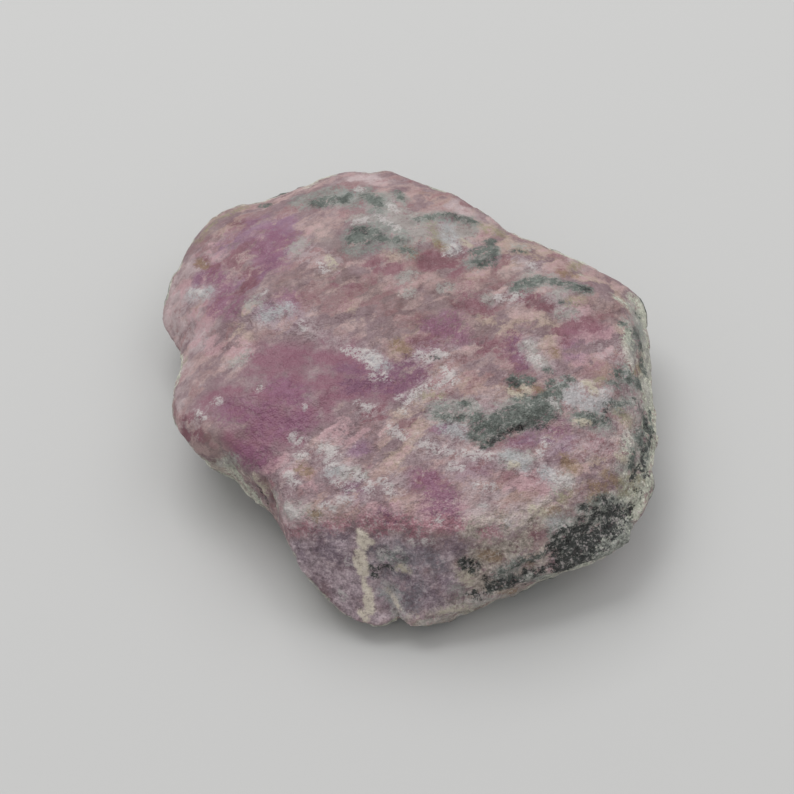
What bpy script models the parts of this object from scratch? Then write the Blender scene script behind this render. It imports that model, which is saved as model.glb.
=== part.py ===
"""A rough ruby: one broken lump of ruby and its host rock, lying on a flat break.

The lump is a ball laid out as a stone. Each line of latitude of the ball becomes one ring of the
stone. Four outlines say where the rings go: the rim of the top face, the girdle where the lump is
widest, the skirt below it and the foot that it rests on. The walls run straight from one outline
to the next, so they break into facets at the outlines' corners. Worn edges come next, then the
dents and ridges that weathering has left, then lumps and grit.

Lists and constants are in millimetres, +Z is up and the flat break lies on Z = 0.
"""

import bmesh
import bpy
import numpy as np
from mathutils import Vector

MM = 0.001
NAME = "ruby_crystal"

# Outlines as (x, y, height), and the foot's as (x, y), anticlockwise seen from above.
RIM = [
    (22.0, 2.1, 11.8), (20.6, 7.2, 11.6), (15.5, 11.4, 11.5), (9.5, 15.5, 11.5),
    (4.4, 19.0, 11.8), (-0.7, 21.6, 11.5), (-5.9, 23.1, 11.0), (-11.0, 21.8, 10.5),
    (-16.1, 19.9, 10.0), (-19.7, 17.3, 9.5), (-22.1, 13.1, 9.0), (-23.0, 8.0, 9.0),
    (-21.9, 3.9, 8.8), (-21.9, 0.7, 9.0), (-22.4, -3.4, 10.0), (-22.2, -6.9, 10.2),
    (-18.7, -10.6, 10.5), (-15.7, -12.7, 10.8), (-13.3, -15.1, 11.0), (-12.5, -17.5, 11.2),
    (-11.7, -19.5, 11.5), (-7.4, -20.1, 12.3), (-3.6, -20.1, 12.6), (0.2, -20.8, 12.8),
    (4.0, -21.4, 12.8), (9.3, -21.0, 12.0), (14.6, -18.6, 11.8), (18.6, -15.6, 11.5),
    (20.8, -11.7, 11.5), (21.9, -5.3, 11.8),
]
GIRDLE = [
    (24.6, 5.4, 7.6), (24.4, 8.9, 8.0), (23.0, 11.1, 8.6), (20.2, 12.8, 9.0),
    (16.7, 14.3, 9.5), (9.8, 17.7, 10.0), (8.0, 19.6, 10.1), (2.7, 22.9, 10.2),
    (-0.5, 24.9, 9.7), (-2.5, 26.2, 9.7), (-4.4, 25.5, 9.3), (-6.1, 26.2, 9.2),
    (-8.4, 25.6, 9.0), (-12.7, 23.4, 8.5), (-15.3, 23.0, 8.2), (-19.8, 20.8, 7.8),
    (-22.9, 16.8, 7.2), (-25.0, 11.0, 6.5), (-25.5, 8.9, 6.0), (-24.4, 6.1, 6.0),
    (-22.7, 2.7, 7.2), (-23.3, -0.2, 7.5), (-23.9, -3.4, 8.0), (-23.5, -7.0, 9.0),
    (-21.1, -9.9, 8.5), (-18.6, -9.7, 6.0), (-16.5, -11.3, 4.0), (-14.7, -13.3, 4.0),
    (-12.9, -15.9, 5.0), (-12.4, -18.3, 7.5), (-11.9, -20.1, 8.0), (-10.5, -22.1, 6.5),
    (-8.3, -23.3, 4.0), (-6.2, -24.8, 2.5), (-2.8, -26.1, 2.1), (-1.0, -25.4, 2.9),
    (1.0, -26.6, 2.7), (5.8, -25.0, 4.2), (12.5, -23.1, 6.0), (16.5, -22.1, 6.2),
    (21.4, -19.4, 6.2), (23.4, -15.7, 6.4), (24.4, -12.4, 6.6), (24.8, -6.8, 6.8),
    (24.6, -0.7, 7.0),
]
FOOT = [
    (17.5, 1.0), (16.0, 8.0), (8.5, 12.0), (-2.0, 18.0), (-12.0, 15.5), (-17.0, 9.0), (-16.0, -1.5),
    (-13.0, -9.0), (-9.0, -16.0), (-5.0, -22.5), (3.0, -23.5), (9.6, -18.6), (16.0, -10.5),
]
SKIRT_OUT = 0.72  # how far out the skirt lies between the foot and the girdle
SKIRT_UP = 0.38  # its height as a share of the girdle's
CROWN = 13.6  # height of the top face's middle
SAG = 3.0  # how flat the top face stays before it falls to the rim; 2 would be a bowl's curve
BASE_SINK = 0.35  # the foot lies this far below the cut that makes it flat
BASE_SHARE = 0.35  # the hidden base gets this share of the faces that its area would give it
WEAR = 0.035  # how far along the ball an edge is rounded
SHOULDER_WEAR = 0.15  # the same for the shoulder between the top face and the walls
SHOULDER_LEVELS = (-0.1, 0.1)  # on the ball, where the one kind of wear passes into the other

# Weathered marks: a path over the surface, its half-width, and how far its middle is pushed.
MARKS = {
    "hollow where dark hornblende has worn away": (
        [(14.4, -20.8, 7.2), (18.0, -18.8, 7.8), (21.2, -17.0, 6.8)], 1.7, (-0.5, 0.9, 0.2)),
    "crease above the hollow": (
        [(6.5, -22.0, 9.3), (12.5, -20.1, 10.2), (16.1, -18.3, 10.4)], 0.7, (-0.1, 0.4, 0.0)),
    "undercut above the hollow": (
        [(13.9, -19.8, 9.9), (15.6, -19.0, 9.7), (17.7, -17.8, 8.8), (19.8, -16.2, 8.6), (21.3, -14.7, 8.2)],
        0.6, (-0.35, 0.55, 0.0)),
    "groove above the lower lip": (
        [(5.3, -24.6, 5.2), (7.9, -23.6, 6.2), (10.8, -22.6, 7.0), (13.5, -22.2, 6.9)],
        0.7, (-0.1, 0.4, 0.1)),
    "cleft down the front": (
        [(-2.6, -23.0, 7.6), (-1.9, -23.8, 5.8), (-1.0, -24.9, 3.2), (-0.6, -25.2, 1.2)],
        0.6, (0.0, 0.85, 0.1)),
    "open crack in the left wall": (
        [(-14.1, -14.1, 9.4), (-13.3, -15.6, 7.0)], 0.6, (0.5, 0.4, 0.0)),
    "green zoisite standing proud": (
        [(5.0, -8.5, 13.4), (9.5, -9.3, 13.2), (13.5, -7.2, 12.9)], 1.9, (0.0, 0.0, 0.55)),
    "step below the zoisite": (
        [(6.5, -13.0, 13.5), (10.9, -10.8, 13.1), (14.6, -10.2, 12.7)], 1.0, (0.0, 0.0, -0.35)),
    "pale crest on the top face": (
        [(-18.2, 3.4, 10.8), (-14.7, 5.2, 12.6), (-7.7, 9.9, 13.1)], 1.5, (0.0, 0.0, 0.4)),
    "smooth parting plane": (
        [(-17.0, -3.0, 11.6), (-10.0, -2.0, 13.0), (-6.0, 0.5, 13.3)], 3.5, (0.0, 0.0, -0.45)),
    "dip behind the crest": (
        [(-17.5, 8.5, 11.4), (-15.0, 12.5, 11.6)], 1.6, (0.0, 0.0, -0.5)),
}

LUMP_SIZE, LUMP_HEIGHT = 7.0, 0.40
GRIT_SIZE, GRIT_HEIGHT = 2.2, 0.16
BALL_STEPS = 6
TRIANGLES = 10000


def outline_at(outline, angle):
    """The point where each angle's half-line from the Z axis crosses the closed outline, whose
    corners are joined by straight lines."""
    corners = np.array(outline)
    turn = np.arctan2(corners[:, 1], corners[:, 0]) % (2 * np.pi)
    corners = corners[np.argsort(turn)]
    turn = np.sort(turn)
    after = np.searchsorted(turn, angle % (2 * np.pi)) % len(corners)
    start, end = corners[after - 1], corners[after]
    side = end - start
    way = np.stack([np.cos(angle), np.sin(angle)], 1)
    crossing = way[:, 0] * side[:, 1] - way[:, 1] * side[:, 0]
    share = (start[:, 0] * way[:, 1] - start[:, 1] * way[:, 0]) / crossing
    return start + share[:, None] * side


def ring_levels(rings):
    """The ball's height, from 1 at the crown to -1 at the middle of the base, where each ring
    lies. Equal heights of a ball hold equal areas, so the heights are shared out by the areas of
    the top face, each wall and the base along that angle."""
    radii = [np.hypot(ring[:, 0], ring[:, 1]) for ring in rings]
    areas = [radii[0] ** 2 / 2]
    for upper, lower, near, far in zip(rings[:-1], rings[1:], radii[:-1], radii[1:]):
        areas.append((near + far) / 2 * np.linalg.norm(upper - lower, axis=1))
    areas.append(BASE_SHARE * radii[-1] ** 2 / 2)
    passed = np.cumsum(areas, axis=0)
    return 1 - 2 * passed[:-1] / passed[-1]


def laid_out(angle, level):
    """The stone's surface for angles round the ball and levels from -1 at the middle of its base
    to 1 at its crown, before any wear. The top face falls from the crown with the SAG power of
    the distance out, and the walls are straight between the rings."""
    rim, girdle = outline_at(RIM, angle), outline_at(GIRDLE, angle)
    foot = np.append(outline_at(FOOT, angle), np.full((len(angle), 1), -BASE_SINK), axis=1)
    skirt = foot + (girdle - foot) * SKIRT_OUT
    skirt[:, 2] = girdle[:, 2] * SKIRT_UP
    rings = [rim, girdle, skirt, foot]
    levels = ring_levels(rings)

    out = np.sqrt(np.clip((1 - level) / (1 - levels[0]), 0, 1))[:, None]
    top = rim * out
    top[:, 2:] = CROWN + (rim[:, 2:] - CROWN) * out**SAG
    base = foot * np.sqrt(np.clip((1 + level) / (1 + levels[-1]), 0, 1))[:, None]
    base[:, 2] = -BASE_SINK
    points = np.where((level >= levels[0])[:, None], top, base)
    for upper, high, lower, low in zip(rings[:-1], levels[:-1], rings[1:], levels[1:]):
        share = (high - level) / (high - low)
        here = (share > 0) & (share <= 1)
        points[here] = (upper + (lower - upper) * share[:, None])[here]
    return points


def worn(angle, level):
    """The mean of the surface a little to each side, which rounds the edges between facets."""
    room = np.interp(level, SHOULDER_LEVELS, (WEAR, SHOULDER_WEAR)) * (1 - np.abs(level))
    steps = (-1.0, -0.5, 0.0, 0.5, 1.0)
    total = 0.0
    for along in steps:
        for across in steps:
            total = total + laid_out(angle + along * WEAR, level + across * room)
    return total / len(steps) ** 2


def distance_to_path(points, path):
    """How far each point lies from a path of straight lines."""
    nearest = np.full(len(points), np.inf)
    for start, end in zip(np.array(path[:-1]), np.array(path[1:])):
        side = end - start
        share = np.clip((points - start) @ side / (side @ side), 0, 1)
        gap = np.linalg.norm(points - start - share[:, None] * side, axis=1)
        nearest = np.minimum(nearest, gap)
    return nearest


def marked(points):
    """Pushes the surface in or out round each mark's path, most at the path itself."""
    moved = points.copy()
    for path, half_width, push in MARKS.values():
        strength = np.exp(-((distance_to_path(points, path) / half_width) ** 2))
        moved += strength[:, None] * np.array(push)
    return moved


def lumps(points, size, seed):
    """Smooth random numbers from -1 to 1. The corners of a grid of cubes of this size each hold
    a random number, and a point takes a smooth mix of its cube's eight corners."""
    corners = np.random.default_rng(seed).uniform(-1, 1, (16, 16, 16))
    cell = np.floor(points / size).astype(int)
    inside = points / size - cell
    ease = inside * inside * (3 - 2 * inside)
    total = np.zeros(len(points))
    for step in np.ndindex(2, 2, 2):
        weight = np.prod(np.where(step, ease, 1 - ease), axis=1)
        x, y, z = ((cell + step) % 16).T
        total += weight * corners[x, y, z]
    return total


def roughened(points):
    """Moves each point by a smooth random amount along X, Y and Z: broad lumps, then grit."""
    moved = points.copy()
    for axis in range(3):
        moved[:, axis] += LUMP_HEIGHT * lumps(points, LUMP_SIZE, seed=axis)
        moved[:, axis] += GRIT_HEIGHT * lumps(points, GRIT_SIZE, seed=10 + axis)
    return moved


def stone_points(ball):
    """Where each point of the unit ball lies on the stone."""
    angle = np.arctan2(ball[:, 1], ball[:, 0])
    points = roughened(marked(worn(angle, np.clip(ball[:, 2], -1, 1))))
    middle = (points.min(0) + points.max(0)) / 2
    points[:, :2] -= middle[:2]
    return points


def stone_material():
    material = bpy.data.materials.new("rough_ruby")
    material.use_nodes = True
    surface = material.node_tree.nodes["Principled BSDF"]
    surface.inputs["Base Color"].default_value = (0.30, 0.17, 0.22, 1.0)
    surface.inputs["Roughness"].default_value = 0.62
    surface.inputs["Metallic"].default_value = 0.0
    return material


def ground_cutter(collection):
    """A block whose upper face is the plane of the flat break."""
    width, depth = 80.0 * MM, 8.0 * MM
    block = bmesh.new()
    bmesh.ops.create_cube(block, size=1.0)
    bmesh.ops.scale(block, vec=Vector((width, width, depth)), verts=block.verts)
    bmesh.ops.translate(block, vec=Vector((0, 0, -depth / 2)), verts=block.verts)
    mesh = bpy.data.meshes.new("ground_cutter")
    block.to_mesh(mesh)
    block.free()
    cutter = bpy.data.objects.new("ground_cutter", mesh)
    cutter.hide_render = True
    cutter.display_type = "WIRE"
    collection.objects.link(cutter)
    return cutter


def rough_ruby(collection, cutter):
    """The lump: a ball moved to the stone's surface, thinned, and cut flat underneath."""
    ball = bmesh.new()
    bmesh.ops.create_icosphere(ball, subdivisions=BALL_STEPS, radius=1.0)
    places = stone_points(np.array([vertex.co for vertex in ball.verts]))
    for vertex, place in zip(ball.verts, places):
        vertex.co = place * MM
    faces = len(ball.faces)
    mesh = bpy.data.meshes.new(NAME)
    ball.to_mesh(mesh)
    ball.free()
    mesh.materials.append(stone_material())
    mesh.shade_smooth()
    stone = bpy.data.objects.new(NAME, mesh)
    collection.objects.link(stone)

    thin = stone.modifiers.new("fewer_faces", "DECIMATE")
    thin.ratio = TRIANGLES / faces
    cut = stone.modifiers.new("flat_break", "BOOLEAN")
    cut.operation = "DIFFERENCE"
    cut.object = cutter


def main():
    for thing in list(bpy.data.objects):
        bpy.data.objects.remove(thing)
    part = bpy.data.collections.new("rough_ruby")
    cutters = bpy.data.collections.new("cutters")
    for collection in (part, cutters):
        bpy.context.scene.collection.children.link(collection)
    rough_ruby(part, ground_cutter(cutters))


main()
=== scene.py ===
# %% [markdown]
# # A raw ruby in its host rock
# A lump of rock, about 5 cm across, in which ruby grew together with pale feldspar, green zoisite
# and dark hornblende. It was broken out of a larger mass and a little worn since. This file gives
# it its fine surface and its minerals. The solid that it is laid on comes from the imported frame.

# %% Load the frame
import math
from collections import namedtuple

import bpy
import numpy as np
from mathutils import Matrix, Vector
from mathutils.bvhtree import BVHTree


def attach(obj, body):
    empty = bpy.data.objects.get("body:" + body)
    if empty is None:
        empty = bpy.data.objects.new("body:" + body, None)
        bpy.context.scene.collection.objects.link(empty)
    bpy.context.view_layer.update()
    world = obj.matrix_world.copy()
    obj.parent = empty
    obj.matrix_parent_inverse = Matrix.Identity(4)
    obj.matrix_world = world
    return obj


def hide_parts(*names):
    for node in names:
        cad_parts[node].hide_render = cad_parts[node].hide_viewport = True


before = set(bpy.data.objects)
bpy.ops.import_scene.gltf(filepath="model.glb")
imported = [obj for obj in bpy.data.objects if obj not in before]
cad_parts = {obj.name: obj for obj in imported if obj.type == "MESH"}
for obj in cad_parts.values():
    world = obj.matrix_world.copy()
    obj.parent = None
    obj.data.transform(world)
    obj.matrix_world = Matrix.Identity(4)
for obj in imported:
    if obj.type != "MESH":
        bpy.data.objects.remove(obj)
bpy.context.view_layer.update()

MM = 0.001
print("pieces in the frame:", list(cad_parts))

# %% [markdown]
# ## The camera
# The camera comes first, because the patches of mineral are placed by where they are seen. It
# looks down on the stone at a steep angle through a long lens, as one does for a small specimen,
# so near and far edges keep nearly the same scale.

# %% Camera
CAMERA_ELEVATION = math.radians(54.0)
CAMERA_DISTANCE = 330.0  # mm
CAMERA_TARGET = np.array([-0.9, -2.1, 7.6])  # mm
LENS, SENSOR = 150.0, 36.0  # mm
FRAME_PIXELS = 794
NEAREST, FARTHEST = 0.01, 10.0  # m, what is closer or farther isn't drawn

RIGHT = np.array([1.0, 0.0, 0.0])
FORWARD = np.array([0.0, math.cos(CAMERA_ELEVATION), -math.sin(CAMERA_ELEVATION)])
UPWARD = np.array([0.0, math.sin(CAMERA_ELEVATION), math.cos(CAMERA_ELEVATION)])
CAMERA_PLACE = CAMERA_TARGET - CAMERA_DISTANCE * FORWARD
PIXELS_PER_SLOPE = LENS / SENSOR * FRAME_PIXELS


def pixel_ray(u, v):
    """The direction in which the camera sees pixel (u, v): straight ahead, plus a step to the
    right and a step down for the pixel's distance from the frame's middle."""
    across = (u - FRAME_PIXELS / 2) / PIXELS_PER_SLOPE
    down = (v - FRAME_PIXELS / 2) / PIXELS_PER_SLOPE
    return FORWARD + across * RIGHT - down * UPWARD


def make_camera():
    """A long lens at the camera's place, turned to look along FORWARD."""
    lens = bpy.data.cameras.new("specimen_camera")
    lens.lens = LENS
    lens.sensor_width = SENSOR
    lens.clip_start = NEAREST
    lens.clip_end = FARTHEST
    camera = bpy.data.objects.new("specimen_camera", lens)
    camera.location = CAMERA_PLACE * MM
    camera.rotation_euler = Vector(FORWARD).to_track_quat("-Z", "Y").to_euler()
    bpy.context.scene.collection.objects.link(camera)
    bpy.context.scene.camera = camera


make_camera()
print("camera at, in mm:", np.round(CAMERA_PLACE, 1))

# %% [markdown]
# ## The stone's form
# The real lump is a thick slab with a broad top, steep broken walls and a flat break under it. It
# could be sculpted, or remeshed from the frame's solid. Here it is a ball laid out as a stone, as
# the solid itself is: every point of a ball goes to one point of the stone, so the surface is
# closed, has no poles, and can be as fine as the minerals need. Four outlines say where the ball's
# rings go: the rim of the top face, the widest girdle, the skirt below it and the foot.

# %% Outlines, as (x, y, height) in mm, and the foot's as (x, y), anticlockwise seen from above
RIM = [
    (22.0, 2.1, 11.8), (20.6, 7.2, 11.6), (15.5, 11.4, 11.5), (9.5, 15.5, 11.5),
    (4.4, 19.0, 11.8), (-0.7, 21.6, 11.5), (-5.9, 23.1, 11.0), (-11.0, 21.8, 10.5),
    (-16.1, 19.9, 10.0), (-19.7, 17.3, 9.5), (-22.1, 13.1, 9.0), (-23.0, 8.0, 9.0),
    (-21.9, 3.9, 8.8), (-21.9, 0.7, 9.0), (-22.4, -3.4, 10.0), (-22.2, -6.9, 10.2),
    (-18.7, -10.6, 10.5), (-15.7, -12.7, 10.8), (-13.3, -15.1, 11.0), (-12.5, -17.5, 11.2),
    (-11.7, -19.5, 11.5), (-7.4, -20.1, 12.3), (-3.6, -20.1, 12.6), (0.2, -20.8, 12.8),
    (4.0, -21.4, 12.8), (9.3, -21.0, 12.0), (14.6, -18.6, 11.8), (18.6, -15.6, 11.5),
    (20.8, -11.7, 11.5), (21.9, -5.3, 11.8),
]
GIRDLE = [
    (24.6, 5.4, 7.6), (24.4, 8.9, 8.0), (23.0, 11.1, 8.6), (20.2, 12.8, 9.0),
    (16.7, 14.3, 9.5), (9.8, 17.7, 10.0), (8.0, 19.6, 10.1), (2.7, 22.9, 10.2),
    (-0.5, 24.9, 9.7), (-2.5, 26.2, 9.7), (-4.4, 25.5, 9.3), (-6.1, 26.2, 9.2),
    (-8.4, 25.6, 9.0), (-12.7, 23.4, 8.5), (-15.3, 23.0, 8.2), (-19.8, 20.8, 7.8),
    (-22.9, 16.8, 7.2), (-25.0, 11.0, 6.5), (-25.5, 8.9, 6.0), (-24.4, 6.1, 6.0),
    (-22.7, 2.7, 7.2), (-23.3, -0.2, 7.5), (-23.9, -3.4, 8.0), (-23.5, -7.0, 9.0),
    (-21.1, -9.9, 8.5), (-18.6, -9.7, 6.0), (-16.5, -11.3, 4.0), (-14.7, -13.3, 4.0),
    (-12.9, -15.9, 5.0), (-12.4, -18.3, 7.5), (-11.9, -20.1, 8.0), (-10.5, -22.1, 6.5),
    (-8.3, -23.3, 4.0), (-6.2, -24.8, 2.5), (-2.8, -26.1, 2.1), (-1.0, -25.4, 2.9),
    (1.0, -26.6, 2.7), (5.8, -25.0, 4.2), (12.5, -23.1, 6.0), (16.5, -22.1, 6.2),
    (21.4, -19.4, 6.2), (23.4, -15.7, 6.4), (24.4, -12.4, 6.6), (24.8, -6.8, 6.8),
    (24.6, -0.7, 7.0),
]
FOOT = [
    (17.5, 1.0), (16.0, 8.0), (8.5, 12.0), (-2.0, 18.0), (-12.0, 15.5), (-17.0, 9.0), (-16.0, -1.5),
    (-13.0, -9.0), (-9.0, -16.0), (-5.0, -22.5), (3.0, -23.5), (9.6, -18.6), (16.0, -10.5),
]
SKIRT_OUT = 0.72  # how far out the skirt lies between the foot and the girdle
SKIRT_UP = 0.38  # its height as a share of the girdle's
CROWN = 13.6  # height of the top face's middle
SAG = 3.0  # how flat the top face stays before it falls to the rim; 2 would be a bowl's curve
BASE_SINK = 0.35  # the foot lies this far below the plane of the flat break
BASE_SHARE = 0.35  # the hidden base gets this share of the faces that its area would give it
WEAR = 0.035  # how far along the ball an edge is rounded
SHOULDER_WEAR = 0.15  # the same for the shoulder between the top face and the walls
SHOULDER_LEVELS = (-0.1, 0.1)  # on the ball, where the one kind of wear passes into the other


def outline_at(outline, angle):
    """The point where each angle's half-line from the Z axis crosses the closed outline, whose
    corners are joined by straight lines."""
    corners = np.array(outline)
    turn = np.arctan2(corners[:, 1], corners[:, 0]) % (2 * np.pi)
    corners = corners[np.argsort(turn)]
    turn = np.sort(turn)
    after = np.searchsorted(turn, angle % (2 * np.pi)) % len(corners)
    start, end = corners[after - 1], corners[after]
    side = end - start
    way = np.stack([np.cos(angle), np.sin(angle)], 1)
    crossing = way[:, 0] * side[:, 1] - way[:, 1] * side[:, 0]
    share = (start[:, 0] * way[:, 1] - start[:, 1] * way[:, 0]) / crossing
    return start + share[:, None] * side


def ring_levels(rings):
    """The ball's height, from 1 at the crown to -1 at the middle of the base, where each ring
    lies. Equal heights of a ball hold equal areas, so the heights are shared out by the areas of
    the top face, each wall and the base along that angle."""
    radii = [np.hypot(ring[:, 0], ring[:, 1]) for ring in rings]
    areas = [radii[0] ** 2 / 2]
    for upper, lower, near, far in zip(rings[:-1], rings[1:], radii[:-1], radii[1:]):
        areas.append((near + far) / 2 * np.linalg.norm(upper - lower, axis=1))
    areas.append(BASE_SHARE * radii[-1] ** 2 / 2)
    passed = np.cumsum(areas, axis=0)
    return 1 - 2 * passed[:-1] / passed[-1]


def laid_out(angle, level):
    """The stone's surface for angles round the ball and levels from -1 at the middle of its base
    to 1 at its crown, before any wear. The top face falls from the crown with the SAG power of
    the distance out, and the walls are straight between the rings."""
    rim, girdle = outline_at(RIM, angle), outline_at(GIRDLE, angle)
    foot = np.append(outline_at(FOOT, angle), np.full((len(angle), 1), -BASE_SINK), axis=1)
    skirt = foot + (girdle - foot) * SKIRT_OUT
    skirt[:, 2] = girdle[:, 2] * SKIRT_UP
    rings = [rim, girdle, skirt, foot]
    levels = ring_levels(rings)

    out = np.sqrt(np.clip((1 - level) / (1 - levels[0]), 0, 1))[:, None]
    top = rim * out
    top[:, 2:] = CROWN + (rim[:, 2:] - CROWN) * out**SAG
    base = foot * np.sqrt(np.clip((1 + level) / (1 + levels[-1]), 0, 1))[:, None]
    base[:, 2] = -BASE_SINK
    points = np.where((level >= levels[0])[:, None], top, base)
    for upper, high, lower, low in zip(rings[:-1], levels[:-1], rings[1:], levels[1:]):
        share = (high - level) / (high - low)
        here = (share > 0) & (share <= 1)
        points[here] = (upper + (lower - upper) * share[:, None])[here]
    return points


def worn(angle, level):
    """The mean of the surface a little to each side, which rounds the edges between facets."""
    room = np.interp(level, SHOULDER_LEVELS, (WEAR, SHOULDER_WEAR)) * (1 - np.abs(level))
    steps = (-1.0, -0.5, 0.0, 0.5, 1.0)
    total = 0.0
    for along in steps:
        for across in steps:
            total = total + laid_out(angle + along * WEAR, level + across * room)
    return total / len(steps) ** 2


# %% [markdown]
# ## A ball without poles
# A globe's grid crowds at its poles. Six square grids on a cube, blown up to the ball, have quads
# of nearly one size, and their shared edges are welded by counting each grid point only once.

# %% The ball's grid
QUADS_PER_SIDE = 128


def ball_grid(count):
    """Points and quads of a cube whose six faces are count by count grids, moved out to the unit
    ball. Grid lines stand at equal angles, which is the tangent of evenly spaced values."""
    line = np.arange(count + 1)
    first, second = np.meshgrid(line, line, indexing="ij")
    sides = []
    for axis in range(3):
        for end in (0, count):
            side = np.empty(first.shape + (3,), int)
            side[..., axis] = end
            side[..., (axis + 1) % 3] = first if end else second
            side[..., (axis + 2) % 3] = second if end else first
            sides.append(side)
    numbers = np.array(sides).reshape(-1, 3)
    unique, where = np.unique(numbers, axis=0, return_inverse=True)
    where = where.reshape(6, count + 1, count + 1)
    quads = np.stack([where[:, :-1, :-1], where[:, 1:, :-1], where[:, 1:, 1:], where[:, :-1, 1:]], -1)
    cube = np.tan((unique / count - 0.5) * np.pi / 2)
    return cube / np.linalg.norm(cube, axis=1)[:, None], quads.reshape(-1, 4)


BALL, QUADS = ball_grid(QUADS_PER_SIDE)
ANGLE = np.arctan2(BALL[:, 1], BALL[:, 0])
LEVEL = np.clip(BALL[:, 2], -1, 1)
print("grid:", len(BALL), "points,", len(QUADS), "quads")

# %% [markdown]
# ## Weathered marks and lumps
# Weathering has eaten the soft dark hornblende into a hollow, opened a cleft down the front and
# left the tough green zoisite standing proud. Each mark is a path over the surface, with a width
# and a push. Smooth random lumps make the rest uneven. Both match the solid in the frame.

# %% Marks and lumps shared with the solid
MARKS = {  # the path's points, its half-width and its push, all in mm
    "hollow where dark hornblende has worn away": (
        [(14.4, -20.8, 7.2), (18.0, -18.8, 7.8), (21.2, -17.0, 6.8)], 1.7, (-0.5, 0.9, 0.2)),
    "crease above the hollow": (
        [(6.5, -22.0, 9.3), (12.5, -20.1, 10.2), (16.1, -18.3, 10.4)], 0.7, (-0.1, 0.4, 0.0)),
    "undercut above the hollow": (
        [(13.9, -19.8, 9.9), (15.6, -19.0, 9.7), (17.7, -17.8, 8.8), (19.8, -16.2, 8.6),
         (21.3, -14.7, 8.2)],
        0.6, (-0.35, 0.55, 0.0)),
    "groove above the lower lip": (
        [(5.3, -24.6, 5.2), (7.9, -23.6, 6.2), (10.8, -22.6, 7.0), (13.5, -22.2, 6.9)],
        0.7, (-0.1, 0.4, 0.1)),
    "cleft down the front": (
        [(-2.6, -23.0, 7.6), (-1.9, -23.8, 5.8), (-1.0, -24.9, 3.2), (-0.6, -25.2, 1.2)],
        0.6, (0.0, 0.85, 0.1)),
    "open crack in the left wall": (
        [(-14.1, -14.1, 9.4), (-13.3, -15.6, 7.0)], 0.6, (0.5, 0.4, 0.0)),
    "green zoisite standing proud": (
        [(5.0, -8.5, 13.4), (9.5, -9.3, 13.2), (13.5, -7.2, 12.9)], 1.9, (0.0, 0.0, 0.55)),
    "step below the zoisite": (
        [(6.5, -13.0, 13.5), (10.9, -10.8, 13.1), (14.6, -10.2, 12.7)], 1.0, (0.0, 0.0, -0.35)),
    "pale crest on the top face": (
        [(-18.2, 3.4, 10.8), (-14.7, 5.2, 12.6), (-7.7, 9.9, 13.1)], 1.5, (0.0, 0.0, 0.4)),
    "smooth parting plane": (
        [(-17.0, -3.0, 11.6), (-10.0, -2.0, 13.0), (-6.0, 0.5, 13.3)], 3.5, (0.0, 0.0, -0.45)),
    "dip behind the crest": (
        [(-17.5, 8.5, 11.4), (-15.0, 12.5, 11.6)], 1.6, (0.0, 0.0, -0.5)),
}
LUMP_SIZE, LUMP_HEIGHT = 7.0, 0.40  # mm
GRIT_SIZE, GRIT_HEIGHT = 2.2, 0.16  # mm


def distance_to_path(points, path):
    """How far each point lies from a path of straight lines."""
    nearest = np.full(len(points), np.inf)
    for start, end in zip(np.array(path[:-1]), np.array(path[1:])):
        side = end - start
        share = np.clip((points - start) @ side / max(side @ side, 1e-9), 0, 1)
        gap = np.linalg.norm(points - start - share[:, None] * side, axis=1)
        nearest = np.minimum(nearest, gap)
    return nearest


def marked(points):
    """Pushes the surface in or out round each mark's path, most at the path itself."""
    moved = points.copy()
    for path, half_width, push in MARKS.values():
        strength = np.exp(-((distance_to_path(points, path) / half_width) ** 2))
        moved += strength[:, None] * np.array(push)
    return moved


def lumps(points, size, seed):
    """Smooth random numbers from -1 to 1. The corners of a grid of cubes of this size each hold
    a random number, and a point takes a smooth mix of its cube's eight corners."""
    corners = np.random.default_rng(seed).uniform(-1, 1, (16, 16, 16))
    cell = np.floor(points / size).astype(int)
    inside = points / size - cell
    ease = inside * inside * (3 - 2 * inside)
    total = np.zeros(len(points))
    for step in np.ndindex(2, 2, 2):
        weight = np.prod(np.where(step, ease, 1 - ease), axis=1)
        x, y, z = ((cell + step) % 16).T
        total += weight * corners[x, y, z]
    return total


def roughened(points):
    """Moves each point by a smooth random amount along X, Y and Z: broad lumps, then grit."""
    moved = points.copy()
    for axis in range(3):
        moved[:, axis] += LUMP_HEIGHT * lumps(points, LUMP_SIZE, seed=axis)
        moved[:, axis] += GRIT_HEIGHT * lumps(points, GRIT_SIZE, seed=10 + axis)
    return moved


BROAD_FORM = roughened(marked(worn(ANGLE, LEVEL)))
MIDDLE = (BROAD_FORM.min(0) + BROAD_FORM.max(0)) / 2
BROAD_FORM[:, :2] -= MIDDLE[:2]
print("broad form in mm:", np.round(BROAD_FORM.min(0), 2), np.round(BROAD_FORM.max(0), 2))
print("moved to the middle by, in mm:", np.round(-MIDDLE[:2], 3))

# %% [markdown]
# ## Where each mineral shows
# Ruby in rock is not one colour. It is a patchwork of crystals, each cut open by the break. The
# big patches are placed as strokes of a brush seen from the camera. Each stroke's points are sent
# down their rays onto the broad form, so a patch lies on the surface from any side, and a point's
# strength is worked out from its distance in space to the nearest stroke. It is 1 inside, 1/2 on
# the stroke's edge and 0 outside, and fades over a short way, so that the material can fray the
# edge with noise that is finer than the mesh.

# %% Rays onto the stone
FORM_TREE = BVHTree.FromPolygons(BROAD_FORM.tolist(), QUADS.tolist())
STROKE_STEP = 10.0  # pixels between the points of a stroke that are sent down to the surface


def on_stone(u, v):
    """The point in mm where the camera sees the stone at pixel (u, v), or None beside it."""
    hit = FORM_TREE.ray_cast(Vector(CAMERA_PLACE), Vector(pixel_ray(u, v)).normalized())[0]
    return None if hit is None else np.array(hit)


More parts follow.
